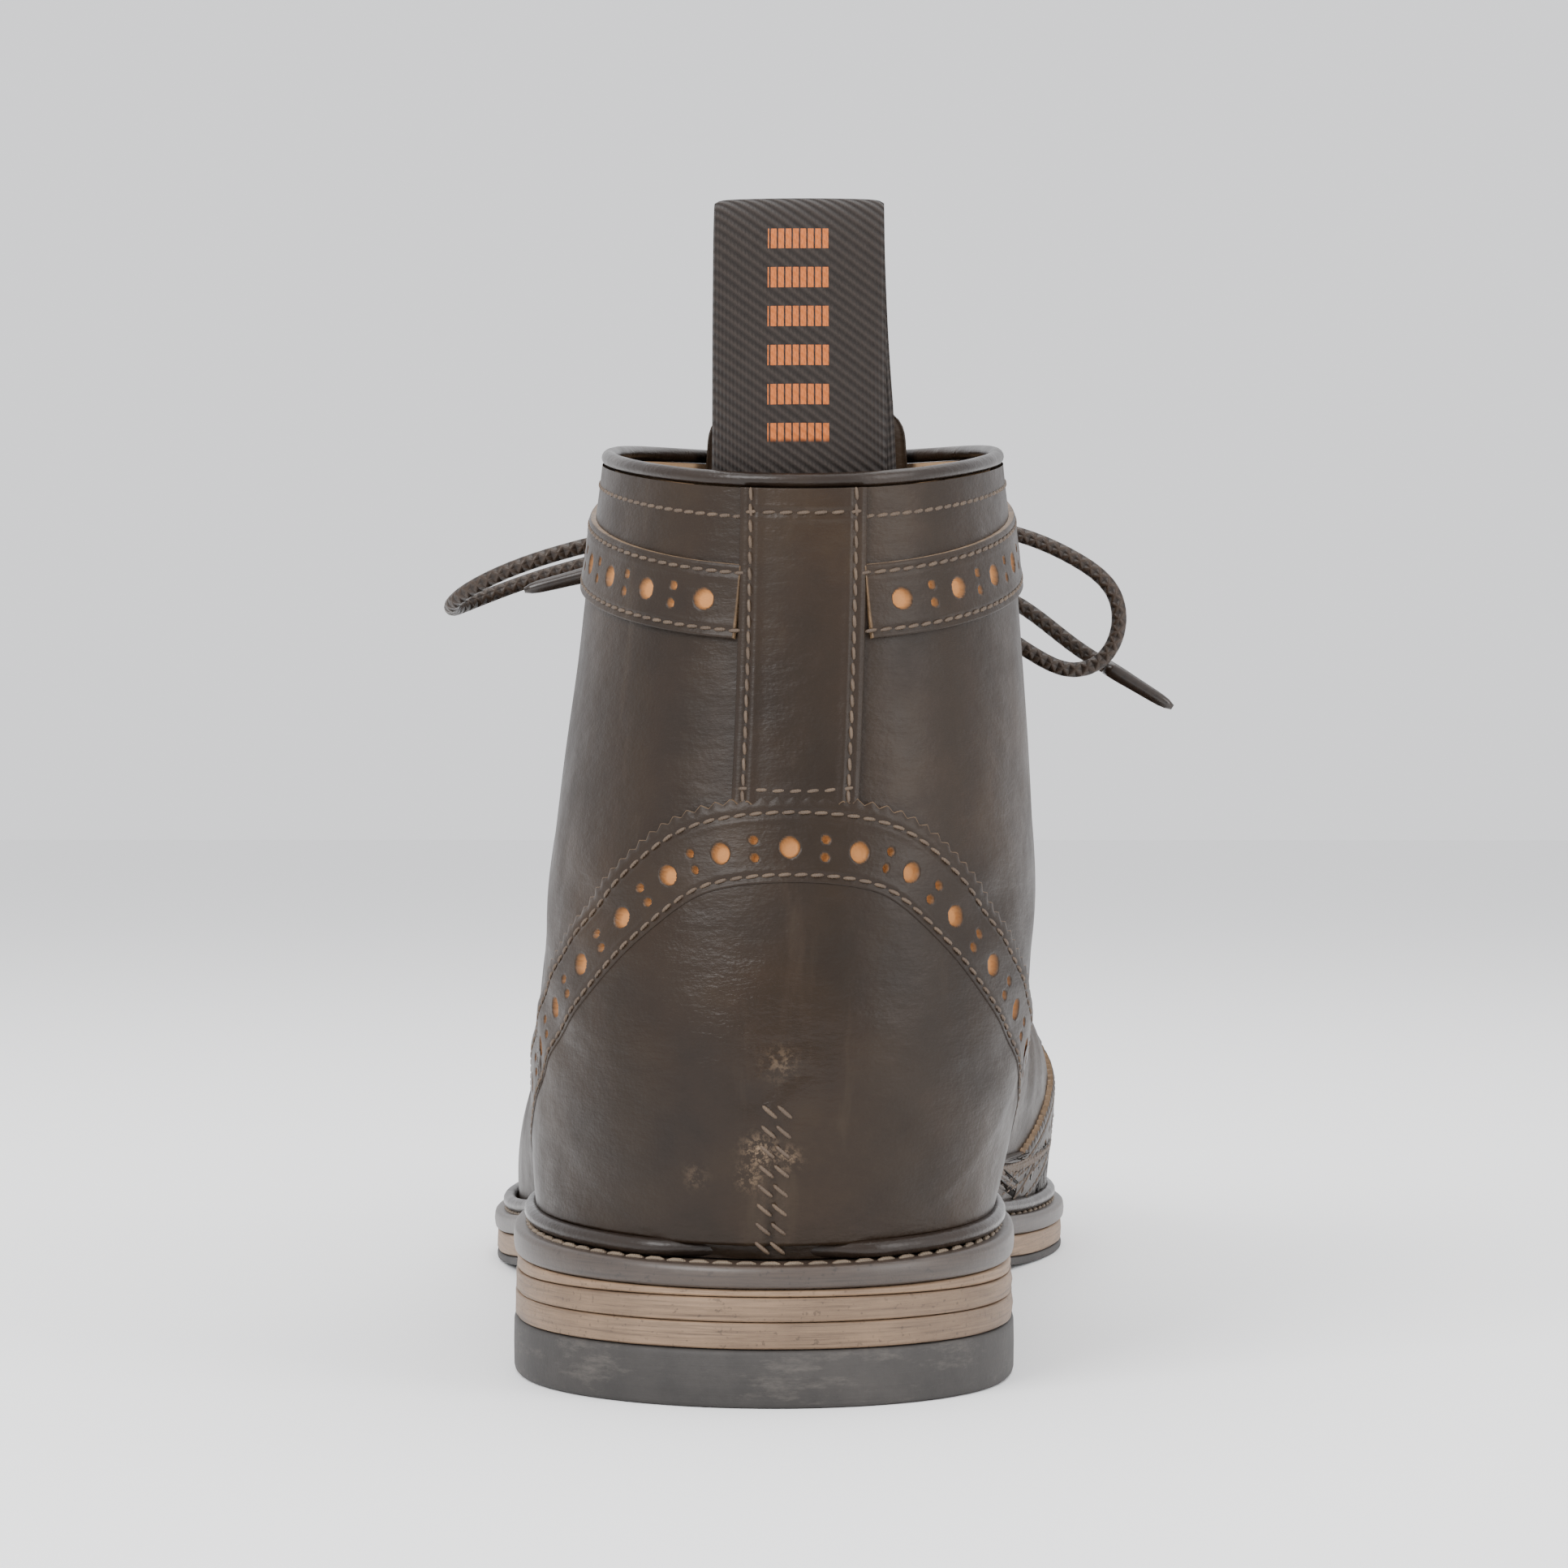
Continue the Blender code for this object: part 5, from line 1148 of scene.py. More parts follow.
capEdge = capPlaces(np.linspace(-1, 1, 401), 1.0)
for name, first, final, middle in (("toe_cap_edge_outer", -0.985, -0.0005, 1.0),
                                   ("toe_cap_edge_inner", 0.0005, 0.985, 0.0)):
    halfEdge = capPlaces(np.linspace(first, final, 200), 1.0)
    capStrip = gimpedStrip(name, *halfEdge, 1, cap["width"], cap["holes"], cap["rows"],
                                 punch["overlay"], True, upperPaint, middle=middle,
                                 rawSides=(1, 0, 0, 0), tapered=True)
    place(capStrip, "waxed_leather")
capGrid = np.meshgrid(np.linspace(-1, 1, 260), np.linspace(0.002, 0.985, 90))
fieldTurn, fieldClimb = capPlaces(*capGrid)
fieldPoints = ringPoint(fieldTurn, fieldClimb)
fieldLift = underStrip(fieldPoints, ringPoint(*capEdge), cap["width"], punch["overlay"])
capField = leatherPiece("toe_cap_leather", fieldTurn, fieldClimb, fieldLift, punch["overlay"] + 0.4 * mm,
                        upperPaint, {"polish": spots((((4, 252, 40), 26, 0.8),))(fieldPoints)}, (0, 0, 0, 0))
place(capField, "waxed_leather", "toe_cap")
print("toe cap ready")

# Facings: a lace stay on each side of the throat, with pits where the eyelets pass
eyelets = {"pairs": 6, "inset": 8.5 * mm, "end": 9 * mm, "flange": 3.9 * mm, "bore": 1.9 * mm,
           "thick": 0.8 * mm}
facing = {"width": 21 * mm, "thick": 1.25 * mm, "rows": (1.9 * mm, 17.6 * mm, 19.4 * mm)}
line = np.linspace(last["throatTurn"], 2.0, 200)
lineLength = lengthAlong(np.stack([topDepth(line), topHeight(line)], axis=1))
eyeletTurn = np.interp(np.linspace(eyelets["end"], lineLength[-1] - eyelets["end"], eyelets["pairs"]),
                       lineLength, line)
eyeletRise = {}
for name, side in (("outer", -1.0), ("inner", 1.0)):
    turn = np.linspace(last["throatTurn"] + 0.012, 2.0, 200)
    climb = climbAt(turn, throatHalf(turn) - 0.05 * mm, side, True)
    turn, climb, along = evenCurve(turn, climb, 0.4 * mm)
    steps = np.concatenate([[0, 0.12, 0.3, 0.6], np.arange(1.0, facing["width"] / mm - 0.8, 0.4),
                            [20.5, 20.8, 21.0]]) * mm
    turns, climbs = march(turn, climb, steps, side)
    points = ringPoint(turns, climbs)
    across = np.repeat(steps[:, None], len(along), axis=1)
    holePoint = ringPoint(eyeletTurn, climbAt(eyeletTurn, throatHalf(eyeletTurn) + eyelets["inset"],
                                              side, True))
    eyeletRise[side] = climbAt(eyeletTurn, throatHalf(eyeletTurn) + eyelets["inset"], side, True)
    away = np.linalg.norm(points[:, :, None] - holePoint[None, None], axis=3).min(2)
    pit = np.clip((2.3 * mm - away) / (0.4 * mm), 0, 1) * 2.6 * mm
    dish = 0.25 * mm * np.exp(-((away - 4.2 * mm) / (1.2 * mm)) ** 2)
    edge = 0.3 * mm * np.exp(-(np.minimum(across, facing["width"] - across) / (0.4 * mm)) ** 2)
    lift = facing["thick"] - edge + stitchGroove(across, facing["rows"]) - pit + 0.3 * dish
    stay = leatherPiece("facing_" + name + "_leather", turns, climbs, lift, 1.9 * mm, upperPaint,
                        {"hole": pit / (2.6 * mm)}, (0, 0, 0, 0))
    place(stay, "waxed_leather", "facing_" + name)
    for row in facing["rows"]:
        k = int(abs(steps - row).argmin())
        stitchRow(turns[k][4:-3], climbs[k][4:-3], facing["thick"] - 0.04 * mm, 2.35 * mm)
print("facings ready")

# Lapped seam of the quarters, from the throat down to the welt on each side
lap = {"thick": 0.55 * mm, "width": 7.5 * mm, "rows": (1.5 * mm, 3.6 * mm)}
for name, side in (("outer", -1.0), ("inner", 1.0)):
    share = np.linspace(0, 1, 120)
    turn = spline((0, 0.35, 0.7, 1.0), (0.485, 0.505, 0.545, 0.60))(share)
    rise = side * spline((0, 0.35, 0.7, 1.0), (0.93, 0.74, 0.48, 0.20))(share)
    turn, climb, along = evenCurve(turn, rise, 0.5 * mm)
    steps = np.concatenate([[0, 0.12, 0.3, 0.6], np.arange(1.0, lap["width"] / mm + 0.01, 0.35)]) * mm
    turns, climbs = march(turn, climb, steps, side)
    across = np.repeat(steps[:, None], len(along), axis=1)
    fade = np.clip((lap["width"] - across) / (lap["width"] * 0.5), 0, 1)
    lift = lap["thick"] * fade + 0.02 * mm + stitchGroove(across, lap["rows"]) - 0.12 * mm * np.exp(
        -(across / (0.35 * mm)) ** 2)
    seam = leatherPiece("quarter_seam_" + name, turns, climbs, lift, 0.9 * mm, upperPaint, {}, (0, 0, 0, 0))
    place(seam, "waxed_leather")
    for row in lap["rows"]:
        k = int(abs(steps - row).argmin())
        stitchRow(turns[k], climbs[k], lap["thick"] * min(1, 2 * (1 - row / lap["width"])), 2.35 * mm)
print("quarter seams ready")

# stitches under the topline
topTurn = np.linspace(1.962, 1.962, 300)
for side in (-1.0, 1.0):
    room = float(ringLength(1.962, side)[0]) - float(throatHalf(1.962)) - facing["width"]
    away = np.linspace(strip["width"] / 2 + 0.6 * mm, room - 1 * mm, 300)
    stitchRow(topTurn, climbAt(topTurn, away, side), 0.02 * mm, 2.2 * mm)

# Tongue: closed padded sheet under the throat
tongue = {"half": 27 * mm, "thick": 2.6 * mm, "rows": 150, "columns": 64}
turn = np.concatenate([np.linspace(last["throatTurn"] - 0.05, 1.0, 90), np.linspace(1.0, 2.2, 61)[1:]])
across = np.linspace(-1, 1, tongue["columns"]) * tongue["half"]
narrow = 1 - 0.42 * np.clip((turn - 2.06) / 0.14, 0, 1) ** 3
tongueTurn = np.repeat(turn[:, None], len(across), axis=1)
tongueClimb = np.zeros(tongueTurn.shape)
for side in (-1.0, 1.0):
    chosen = np.sign(across) == side
    climb, length = ringTable(turn, side, 400)
    for i in range(len(turn)):
        tongueClimb[i, chosen] = np.interp(length[i, -1] - narrow[i] * abs(across[chosen]), length[i], climb)
surface = ringPoint(tongueTurn, tongueClimb)
normal = normalAt(tongueTurn, tongueClimb)
roundness = np.sqrt(np.clip(1 - abs(across / tongue["half"]) ** 8, 0.02, 1))[None]
roundness = roundness * np.sqrt(np.clip(1 - np.linspace(0, 1, len(turn)) ** 40, 0.02, 1))[:, None]
middle = -(last["wall"] + 3.2 * last["gap"] + tongue["thick"] / 2)
rows, columns = tongueTurn.shape
sheets = [surface + normal * (middle + s * tongue["thick"] / 2 * roundness)[..., None] for s in (1, -1)]
outQuads = gridQuads(rows, columns, flip=not facesOut(sheets[0], normal))
outQuads = outQuads[:, ::-1]
size = rows * columns
rim = np.concatenate([np.arange(columns - 1), np.arange(columns - 1, size - 1, columns),
                      np.arange(size - 1, size - columns, -1), np.arange(size - columns, 0, -columns)])
nextRim = np.roll(rim, -1)
rimQuads = np.stack([rim, nextRim, nextRim + size, rim + size], axis=-1)
vertices = np.vstack([s.reshape(-1, 3) for s in sheets])
tongueMesh = makeMesh("tongue_leather", vertices, [outQuads, outQuads[:, ::-1] + size, rimQuads],
                      tonguePaint)
place(tongueMesh, "waxed_leather", "tongue")
print("tongue ready")

# Rolled topline and the bead on the welt
roll = {"radius": 1.2 * mm, "bead": 1.35 * mm}
parts = []
for side in (-1.0, 1.0):
    away = np.linspace(0, float(ringLength(2.0, side)[0]) - float(throatHalf(2.0)), 170)
    parts.append(climbAt(np.full(170, 2.0), away, side))
rollClimb = np.concatenate([parts[0][::-1], parts[1][1:]])
points = ringPoint(2.0, rollClimb) - normalAt(2.0, rollClimb) * last["wall"] / 2
points[:, 2] += last["gap"] + roll["radius"] * 0.8
binding = tubeMesh("topline_roll", smoothRoute(points[::6], 1.2 * mm), roll["radius"], trimPaint, sides=16)
place(binding, "waxed_leather", "topline_binding")

beadTurn = np.linspace(0.0, 1.0, 400)
rounds = []
for side in (-1.0, 1.0):
    start = ringStart(beadTurn)[1]
    rise = (last["gap"] + 1.7 * soleBuild["beadRadius"]) / (topHeight(beadTurn) - start)
    climb = side * np.sqrt(rise)
    rounds.append(ringPoint(beadTurn, climb) + normalAt(beadTurn, climb) * (roll["bead"] + 0.35 * mm))
beadLine = np.vstack([rounds[0][1:-1], rounds[1][::-1][1:-1]])
beadLine = beadLine[np.concatenate([[True], np.linalg.norm(np.diff(beadLine, axis=0), axis=1) > 0.3 * mm])]
length = lengthAlong(np.vstack([beadLine, beadLine[:1]]))
even = np.linspace(0, length[-1], 521)[:-1]
beadLine = np.vstack([beadLine, beadLine[:1]])
beadLine = np.stack([np.interp(even, length, beadLine[:, k]) for k in range(3)], axis=1)
for _ in range(3):
    beadLine = (np.roll(beadLine, 1, axis=0) + 2 * beadLine + np.roll(beadLine, -1, axis=0)) / 4
beadLine[:, 2] = seatHeight(beadLine[:, 1] + heelCentre) + last["gap"] + soleBuild["beadRadius"]
bead = tubeMesh("welt_bead_roll", beadLine, roll["bead"], trimPaint, closed=True, sides=14)
place(bead, "welt_leather", "welt_bead")
print("rolled edges ready")


# Sole: every layer is its outline carried through a profile of insets and heights
def raised(height, by):
    return lambda depth: height(depth) + by


def flatAt(height):
    return lambda depth: np.full_like(depth, height)


def soleLayer(name, levels, paint, start=0.0, end=1.0, count=150, wave=0.0):
    # both sides of the outline at each level, from heel to toe; the ends are closed by a face
    loops = []
    for k, (inset, height) in enumerate(levels):
        outline = soleLoop(count * 4, inset)
        outer = outline[:count * 4 + 1]
        inner = np.vstack([outline[count * 4:], outline[:1]])[::-1]
        back = outline[:, 1].min()
        length = np.ptp(outline[:, 1])
        first = turnOf((max(start, back) - back) / length)
        final = turnOf((min(end * last["soleLength"], back + length) - back) / length)
        depth = back + length * (1 - np.cos(np.linspace(first, final, count + 1))) / 2
        for edge in (outer, inner):
            across = np.interp(depth, edge[:, 1], edge[:, 0])
            across = across + wave * np.sin(depth * 210 + k * 2.1 + across * 90)
            loops.append(np.stack([across, depth - heelCentre, height(depth)], axis=1))
    n = count + 1
    left = np.arange(0, len(loops), 2)
    order = np.concatenate([left, left[::-1] + 1])
    following = np.roll(order, -1)
    i = np.arange(count)
    quads = np.stack([order[:, None] * n + i, following[:, None] * n + i,
                      following[:, None] * n + i + 1, order[:, None] * n + i + 1], axis=-1).reshape(-1, 4)
    ends = np.array([order * n, order[::-1] * n + n - 1])
    thing = makeMesh(name, np.vstack(loops), [quads, ends], paint, merge=1e-7)
    return outward(thing)


def outward(thing):
    body = bmesh.new()
    body.from_mesh(thing.data)
    bmesh.ops.recalc_face_normals(body, faces=body.faces)
    if body.calc_volume(signed=True) < 0:
        bmesh.ops.reverse_faces(body, faces=body.faces)
    body.to_mesh(thing.data)
    body.free()
    return thing


def bellied(low, high, inset, roundness, swell=0.0):
    # side of a layer: rounded corners with a slight swell between them
    turn = np.linspace(0, math.pi / 2, 4)
    rows = [(inset + roundness * (1 - math.sin(t)), (low, roundness * (1 - math.cos(t)))) for t in turn]
    rows += [(inset - swell, ((low, high), 0.5))]
    rows += [(inset + roundness * (1 - math.cos(t)), (high, -roundness * (1 - math.sin(t)))) for t in turn]
    made = []
    for depthIn, where in rows:
        if isinstance(where[0], tuple):
            made.append((depthIn, lambda depth: (low(depth) + high(depth)) / 2))
        else:
            made.append((depthIn, raised(where[0], where[1])))
    return made


heelEnd = last["heelLength"] / last["soleLength"]
lowTop = soleBuild["topPiece"]
midTop = lowTop + soleBuild["lowerLift"]
weltSide = bellied(raised(weltUnder, 0.25 * mm), seatHeight, 0.0, 0.9 * mm, 0.1 * mm)
welt = soleLayer("welt_edge", weltSide, weltPaint, count=220)
place(welt, "welt_leather", "welt")
midsole = soleLayer("leather_midsole", bellied(raised(soleUnder, 0.1 * mm), raised(weltUnder, 0.1 * mm),
                                                0.5 * mm, 0.5 * mm), midPaint, count=220, wave=0.06 * mm)
place(midsole, "stacked_leather", "leather_sole")
forepart = soleLayer("forepart_sole", bellied(treadHeight, soleUnder, 0.45 * mm, 0.6 * mm), rubber,
                     start=last["heelLength"] + 0.6 * mm, count=220)
place(forepart, "heel_rubber", "forepart_rubber")
insoleInset = last["weltReach"] + last["wall"] + 0.9 * mm
insole = soleLayer("insole_leather", bellied(raised(seatHeight, 0.3 * mm), raised(seatHeight, 3.3 * mm),
                                              insoleInset, 0.8 * mm), liningPaint, count=160)
place(insole, "lining_leather", "insole")
upperLiftSide = bellied(flatAt(midTop + 0.12 * mm), soleUnder, 0.35 * mm, 0.35 * mm, 0.1 * mm)
upperLift = soleLayer("lift_upper", upperLiftSide, liftPaint, end=heelEnd, count=160, wave=0.08 * mm)
place(upperLift, "stacked_leather", "upper_lift")
lowerLiftSide = bellied(flatAt(lowTop + 0.12 * mm), flatAt(midTop), 0.25 * mm, 0.4 * mm, 0.1 * mm)
lowerLift = soleLayer("lift_lower", lowerLiftSide, liftPaint, end=heelEnd, count=160, wave=0.08 * mm)
place(lowerLift, "stacked_leather", "lower_lift")
topPiece = soleLayer("heel_top_piece", bellied(flatAt(0.0), flatAt(lowTop), 0.0, 0.8 * mm, 0.05 * mm),
                     rubber, end=heelEnd, count=160)
place(topPiece, "heel_rubber", "top_piece")

# stitches on the welt, set close along the bead
weltLine = soleLoop(360, 2.3 * mm)
weltPath = np.stack([weltLine[:, 0], weltLine[:, 1] - heelCentre, seatHeight(weltLine[:, 1]) + 0.06 * mm], 1)
length = lengthAlong(weltPath)
even = np.arange(0, length[-1], 3.6 * mm)
weltPath = np.stack([np.interp(even, length, weltPath[:, k]) for k in range(3)], axis=1)
heading = unit(np.gradient(weltPath, axis=0))
stitchPlaces["welt"] = [(weltPath, heading, unit(np.cross(heading, np.cross((0, 0, 1.0), heading))))]
print("sole ready")

# Pull loop: webbing carried along its side view, folded over at the top
loop = {"width": 25.6 * mm, "thick": 1.35 * mm, "rise": 44.5 * mm, "below": 16 * mm, "bulge": 9 * mm,
        "round": 19 * mm, "lean": 1.6 * mm}
inside = last["wall"] + 1.2 * mm + 0.7 * mm
rim = last["collarBack"] + 2.3 * mm
top = last["collarBack"] + loop["rise"]
legFoot = last["collarBack"] - loop["below"]
legHeights = np.array([legFoot, (legFoot + rim) / 2, rim,
                       rim + 0.3 * loop["rise"], rim + 0.6 * loop["rise"]])
legBack = backDepthAt(np.minimum(legHeights, rim)) + inside
outerLeg = legBack + loop["bulge"] * np.array([0.0, 0.0, 0.02, -0.12, -0.15])
innerLeg = outerLeg + np.array([1.6, 1.6, 4.5, 9.0, 9.6]) * mm
mid = legBack[-1] + 0.45 * loop["bulge"]
fold = ((outerLeg[-1] + 0.15 * loop["bulge"], top - 0.10 * loop["rise"]),
        (mid - 0.12 * loop["bulge"], top - 0.02 * loop["rise"]),
        (mid + 0.12 * loop["bulge"], top - 0.02 * loop["rise"]),
        (innerLeg[-1] - 0.15 * loop["bulge"], top - 0.10 * loop["rise"]))
sideView = list(zip(outerLeg, legHeights)) + list(fold) + list(zip(innerLeg, legHeights))[::-1]
sideView = smoothRoute([(0.0, d - heelCentre, h) for d, h in sideView], 0.6 * mm)
along = lengthAlong(sideView)
tangent = unit(np.gradient(sideView, axis=0))
outwardNormal = np.stack([0 * along, -tangent[:, 2], tangent[:, 1]], axis=1)
share = np.linspace(-1, 1, 41)
middleX = float(ringStart(2.0)[2]) - 0.8 * mm
bow = np.clip((top - sideView[:, 2]) / loop["rise"], 0, 1)
halfWidth = loop["width"] / 2 * (1 + 0.035 * bow)
shiftX = loop["lean"] * bow * np.clip((along - along[-1] * 0.5) / (along[-1] * 0.25), 0, 1)
ripple = 0.25 * mm * np.sin(sideView[:, 2] * 160 + 1)
sheets = []
for s in (1, -1):
    edge = np.sqrt(np.clip(1 - abs(share) ** 14, 0.05, 1))
    x = middleX + shiftX[:, None] + halfWidth[:, None] * share[None]
    y = sideView[:, 1:2] + (bow[:, None] * (halfWidth[:, None] * share[None]) ** 2 / (2 * loop["round"]))
    z = np.repeat(sideView[:, 2:], len(share), axis=1)
    base = np.stack([x, y, z], axis=-1)
    lift = s * loop["thick"] / 2 * edge[None] + (ripple[:, None] * share[None] ** 2)
    sheets.append(base + outwardNormal[:, None] * lift[..., None])
rows, columns = base.shape[:2]
size = rows * columns
quads = gridQuads(rows, columns, flip=facesOut(sheets[0], np.repeat(outwardNormal[:, None], columns, 1)))
rimOrder = np.concatenate([np.arange(columns - 1), np.arange(columns - 1, size - 1, columns),
                       np.arange(size - 1, size - columns, -1), np.arange(size - columns, 0, -columns)])
rimNext = np.roll(rimOrder, -1)
rimQuads = np.stack([rimOrder, rimNext, rimNext + size, rimOrder + size], axis=-1)
uv = np.stack([np.repeat((share * loop["width"] / 2)[None], rows, 0),
               np.repeat(along[:, None], columns, 1)], axis=-1)
barred = (sideView[:, 2] > rim + 5.5 * mm) & (along < along[-1] * 0.46)
bars = np.repeat(barred.astype(float)[:, None], columns, 1)
bars2 = np.concatenate([bars.ravel(), 0 * bars.ravel()])
vertices = np.vstack([s.reshape(-1, 3) for s in sheets])
pullLoop = makeMesh("pull_loop_webbing", vertices, [quads, quads[:, ::-1] + size, rimQuads], webbing,
                    {"bars": bars2}, np.concatenate([uv.reshape(-1, 2)] * 2))
outward(pullLoop)
place(pullLoop, "webbing", "pull_loop")
print("pull loop ready")

# Eyelets: a rolled flange and a barrel, turned round each hole's normal
profile = np.array([(1.9, -2.4), (1.9, -0.2), (1.98, 0.25), (2.25, 0.62), (2.8, 0.80), (3.35, 0.66),
                    (3.75, 0.32), (3.9, -0.02), (2.4, -0.02), (2.4, -2.4)]) * mm
angle = np.linspace(0, 2 * math.pi, 25)[:-1]
allVertices = []
allQuads = []
for side in (-1.0, 1.0):
    for turn, climb in zip(eyeletTurn, eyeletRise[side]):
        centre = ringPoint(turn, climb)
        axis = normalAt(turn, climb)
        first = unit(np.cross(axis, (0, 1.0, 0)))
        second = np.cross(axis, first)
        ring = np.cos(angle)[:, None] * first + np.sin(angle)[:, None] * second
        points = centre + axis * (facing["thick"] + 0.05 * mm) + profile[:, None, :1] * ring[None] + (
            profile[:, None, 1:] * axis)
        allQuads.append(gridQuads(len(profile), 24, wrapRows=True, wrapColumns=True) + 240 * len(allQuads))
        allVertices.append(points.reshape(-1, 3))
eyeletMesh = outward(makeMesh("eyelets", np.vstack(allVertices), allQuads, brass))
eyeletNodes = ["eyelet_%s_%d" % (word, k) for word in ("outer", "inner") for k in range(1, 7)]
place(eyeletMesh, "antique_brass", *eyeletNodes)

# Lace over the front: bars and crossings that go down into the eyelets
lace = {"radius": 1.35 * mm, "lift": 1.25 * mm + 0.8 * mm + 1.35 * mm + 0.25 * mm}


def overFront(turn, distance, lift):
    side = -1.0 if distance < 0 else 1.0
    climb = climbAt(np.array([turn]), abs(distance), side, True)[0]
    climb = side * min(abs(climb), 0.99995)
    return ringPoint(turn, climb) + normalAt(turn, climb) * lift


def lacePath(stops, high):
    # each strand leaves its hole, crosses over the throat and dives into the next hole
    points = []
    for k in range(len(stops) - 1):
        (turn, side), (nextTurn, nextSide) = stops[k], stops[k + 1]
        start = side * (float(throatHalf(turn)) + eyelets["inset"])
        end = nextSide * (float(throatHalf(nextTurn)) + eyelets["inset"])
        for share, up in ((0.0, -0.6), (0.05, 0.55), (0.16, 1.0), (0.36, 1.0), (0.5, 1.0 + high), (0.64, 1.0),
                          (0.84, 1.0), (0.95, 0.55)):
            points.append(overFront(turn + (nextTurn - turn) * share, start + (end - start) * share,
                                    lace["lift"] * up))
    turn, side = stops[-1]
    points.append(overFront(turn, side * (float(throatHalf(turn)) + eyelets["inset"]), -0.6 * lace["lift"]))
    return points


rising = [(turn, -1.0 if k % 2 == 0 else 1.0) for k, turn in enumerate(eyeletTurn)]
crossing = [(turn, -side) for turn, side in rising]
strands = [lacePath([rising[0], crossing[0]], 0.0)]
for k in range(len(rising) - 1):
    strands.append(lacePath([crossing[k], crossing[k + 1]], 0.0))
    strands.append(lacePath([rising[k], rising[k + 1]], 0.62))
made = []
for k, points in enumerate(strands):
    made.append(tubeMesh("strand_%d" % k, smoothRoute(points, 0.9 * mm), lace["radius"], braid, sides=12))
for thing in made:
    thing.select_set(True)
bpy.context.view_layer.objects.active = made[0]
with bpy.context.temp_override(active_object=made[0], selected_editable_objects=made, selected_objects=made):
    bpy.ops.object.join()
lacing = made[0]
lacing.name = "lacing_braid"
place(lacing, "waxed_cord", "lacing")
print("lacing ready")

# Bow: two loops and two ends from one knot; routes in millimetres across, forward and up
bowRoutes = {
    "bow_loop_inner": (
        (13.7, 93.1, 137.3), (28, 90, 138.6), (42.1, 88.5, 136.9), (54.0, 88.5, 131.9),
        (60.2, 88.5, 126.3), (61.3, 88.5, 121), (57.5, 88.5, 113.7), (53.4, 88.5, 112.4),
        (47, 88.5, 114.6), (36, 89.5, 122.0), (26, 91, 127.5), (12.9, 93.2, 133.2)),
    "bow_loop_outer": (
        (0.3, 90.6, 137.6), (-14, 84, 137.6), (-33, 79, 134.2), (-50, 80, 128.6),
        (-57, 85.5, 124.9), (-58.3, 91, 123.6), (-56, 97, 124.7), (-46, 101, 128.8),
        (-33, 101.5, 132.6), (-14, 98, 136.2), (-0.7, 94.7, 137.3)),
    "lace_end_inner": (
        (10.2, 98.4, 133.5), (24, 99, 130.5), (43.5, 96, 124.5), (54.1, 95, 116.6), (59.3, 94.5, 113.2)),
    "lace_end_outer": (
        (1.3, 96.8, 132.2), (-10, 94, 132.6), (-21, 91, 132.4), (-31.5, 90, 130.2)),
}
knot = {"centre": np.array((6.5, 93.5, 136.0)) * mm, "size": np.array((7.0, 4.6, 4.8)) * mm}


def knotPath():
    # cord wound once and a half round the knot's middle, over and under itself
    t = np.linspace(0, 1, 90)
    turn = t * 3.1 * math.pi + 0.4
    x = (t - 0.5) * 9.0 * mm
    y = 3.1 * mm * np.cos(turn)
    z = 3.3 * mm * np.sin(turn)
    return np.stack([x, y, z], axis=1) + knot["centre"]


knotWrap = tubeMesh("bow_knot_wrap", knotPath(), lace["radius"], braid, sides=12)
coreT = np.linspace(0, 1, 30)
corePath = np.stack([(coreT - 0.5) * 13.0 * mm, 0.6 * mm * np.sin(coreT * 6),
                     1.2 * mm * np.cos(coreT * 5)], axis=1)
knotCore = tubeMesh("bow_knot_core", corePath + knot["centre"],
                    2.3 * mm * np.sqrt(np.clip(1 - (2 * coreT - 1) ** 4, 0.1, 1)), braid, sides=12)
place(knotWrap, "waxed_cord", "bow_knot")
place(knotCore, "waxed_cord")
for name, route in bowRoutes.items():
    path = smoothRoute(np.array(route) * mm, 1.0 * mm)
    cord = tubeMesh(name + "_braid", path, lace["radius"], braid, sides=12)
    place(cord, "waxed_cord", name)
    if name.startswith("lace_end"):
        forward = unit(path[-1] - path[-2])
        tipAt = np.linspace(0, 14 * mm, 12)
        tipRadius = np.array([1.42, 1.45, 1.45, 1.42, 1.36, 1.32, 1.28, 1.24, 1.2, 1.12, 0.95, 0.5]) * mm
        tipPath = path[-1] + forward * (tipAt[:, None] + 0.1 * mm)
        tip = tubeMesh(name + "_tip", tipPath, tipRadius, tipPaint, sides=14)
        place(tip, "waxed_cord", name.replace("lace_end", "aglet"))
print("bow ready")

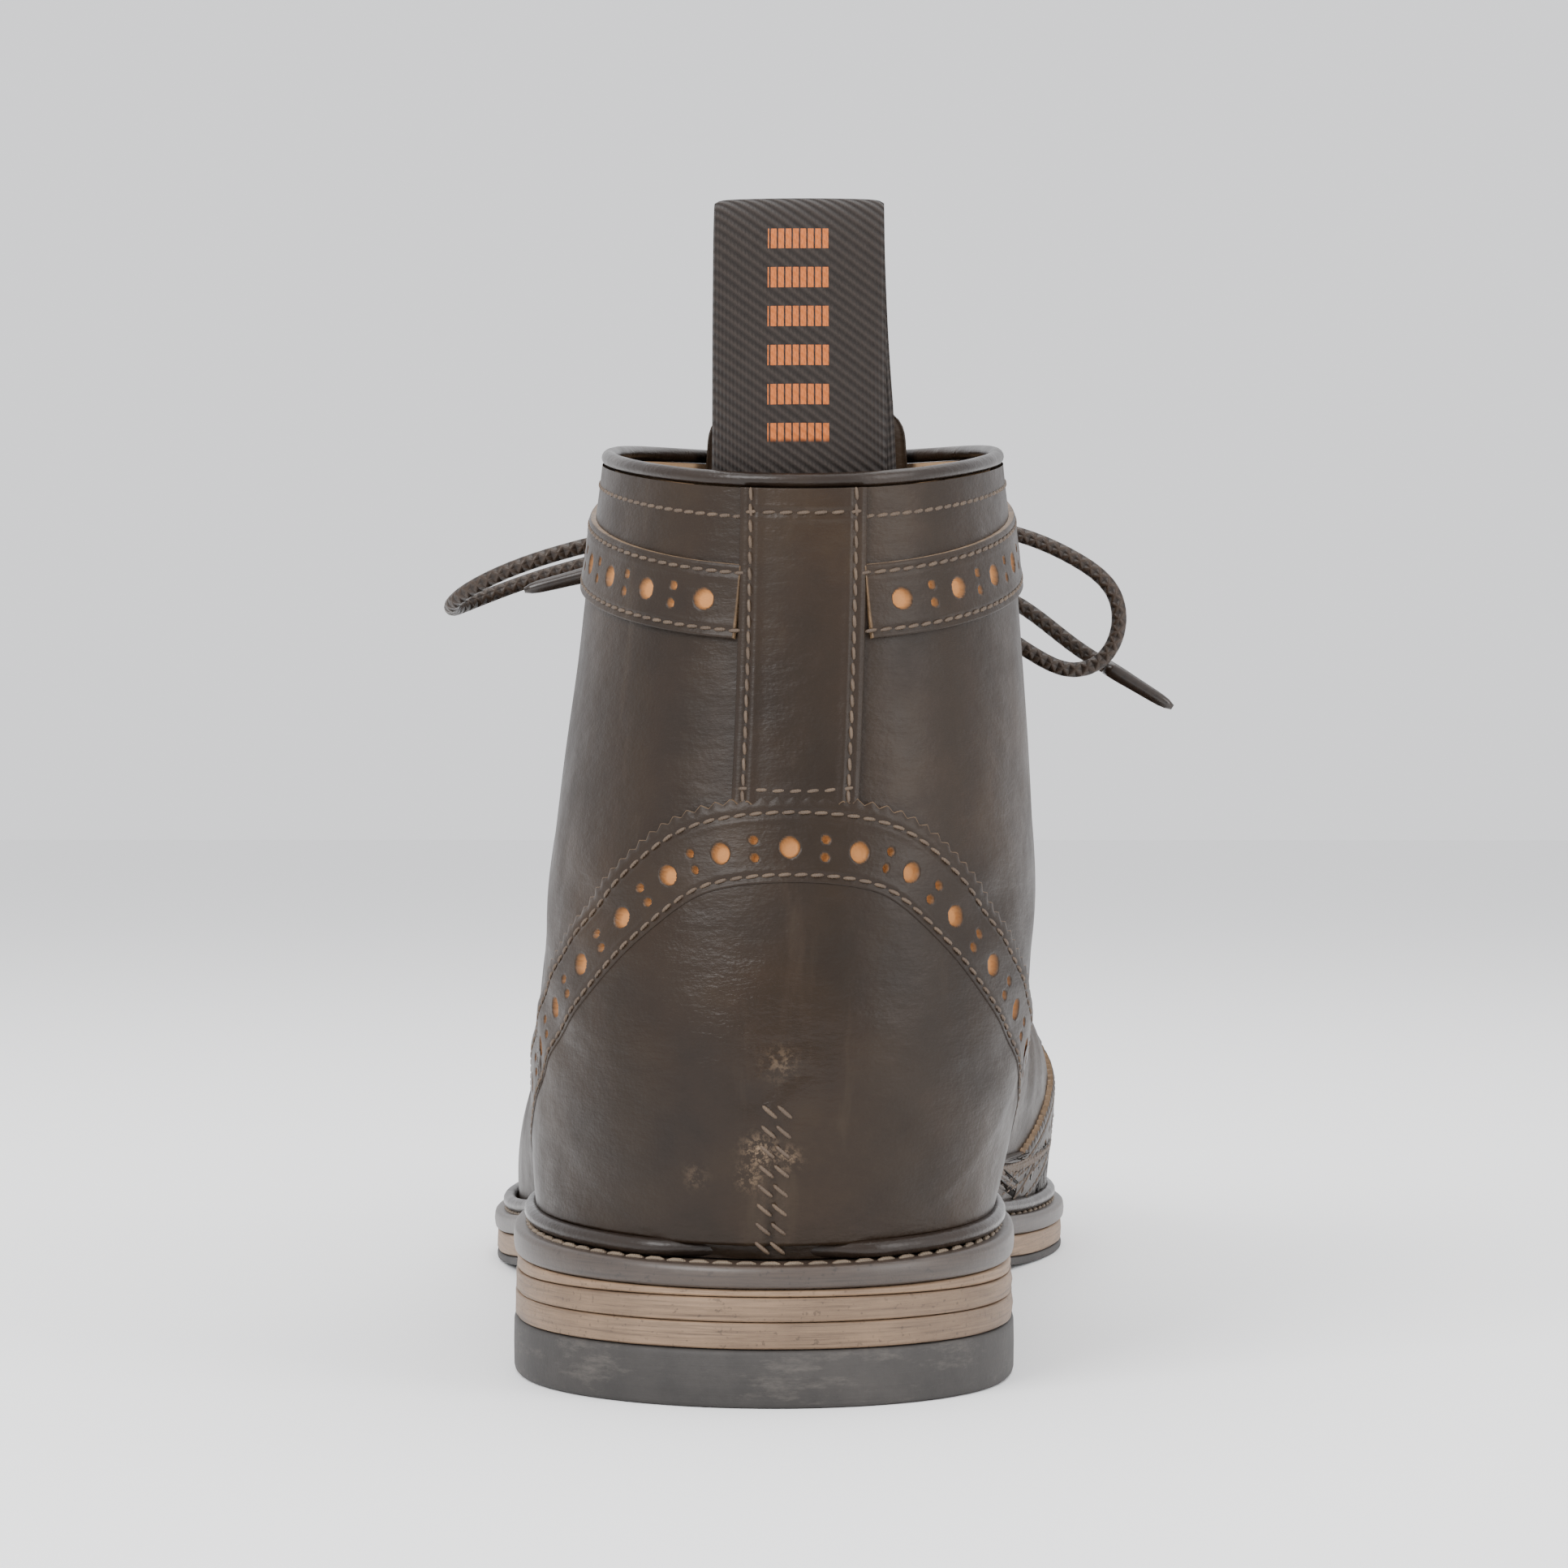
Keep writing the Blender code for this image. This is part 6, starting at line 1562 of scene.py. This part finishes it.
# All stitches, each kind in one mesh
for kind, name, paint, size in (
        ("thread", "stitches", darkThread,
         {"length": 2.05 * mm, "radius": 0.30 * mm, "dip": 0.20 * mm, "slant": 0.10}),
        ("seam", "seam_stitches", darkThread,
         {"length": 2.9 * mm, "radius": 0.34 * mm, "dip": 0.15 * mm, "slant": 0.9}),
        ("welt", "welt_stitches", weltThread,
         {"length": 3.3 * mm, "radius": 0.50 * mm, "dip": 0.25 * mm, "slant": 0.12})):
    sewn = sewnMesh(name, stitchPlaces[kind], paint, size)
    place(sewn, "waxed_leather" if kind != "welt" else "welt_leather")
print("stitches ready")

# Floor, light and camera
studio = {"floor": (0.92, 0.92, 0.92), "world": 1.3, "key": 22.0, "side": 9.0, "top": 12.0}
floorMesh = bpy.data.meshes.new("floor")
floorMesh.from_pydata([(-4, -4, 0), (4, -4, 0), (4, 6, 0), (-4, 6, 0)], [], [(0, 1, 2, 3)])
floor = bpy.data.objects.new("floor", floorMesh)
bpy.context.scene.collection.objects.link(floor)
floorPaint, _, floorShader = newPaint("floor")
floorShader.inputs["Base Color"].default_value = (*studio["floor"], 1)
floorShader.inputs["Roughness"].default_value = 0.75
floorMesh.materials.append(floorPaint)

world = bpy.data.worlds.new("studio")
world.use_nodes = True
world.node_tree.nodes["Background"].inputs["Color"].default_value = (0.97, 0.975, 1.0, 1)
world.node_tree.nodes["Background"].inputs["Strength"].default_value = studio["world"]
bpy.context.scene.world = world


def areaLight(name, where, target, size, power):
    lamp = bpy.data.lights.new(name, "AREA")
    lamp.shape = "RECTANGLE"
    lamp.size, lamp.size_y = size
    lamp.energy = power
    thing = bpy.data.objects.new(name, lamp)
    thing.location = where
    aim = mathutils.Vector(target) - mathutils.Vector(where)
    thing.rotation_euler = aim.to_track_quat("-Z", "Y").to_euler()
    bpy.context.scene.collection.objects.link(thing)


areaLight("key", (-0.75, -0.95, 0.95), (0, 0.02, 0.08), (0.8, 0.8), studio["key"])
areaLight("side", (1.05, -0.55, 0.55), (0, 0.05, 0.08), (0.6, 0.9), studio["side"])
areaLight("top", (0.1, 0.25, 1.25), (0, 0.05, 0.05), (1.1, 1.1), studio["top"])

camera = bpy.data.cameras.new("camera")
camera.sensor_width = 36
camera.lens = 93
camera.clip_start = 0.01
view = bpy.data.objects.new("camera", camera)
view.location = (0.016, -0.6361, 0.092)
yaw = math.radians(-2.98 + 4.13)
view.rotation_euler = (math.radians(90), 0, yaw)
bpy.context.scene.collection.objects.link(view)
bpy.context.scene.camera = view

bpy.context.view_layer.update()
print("scene ready")
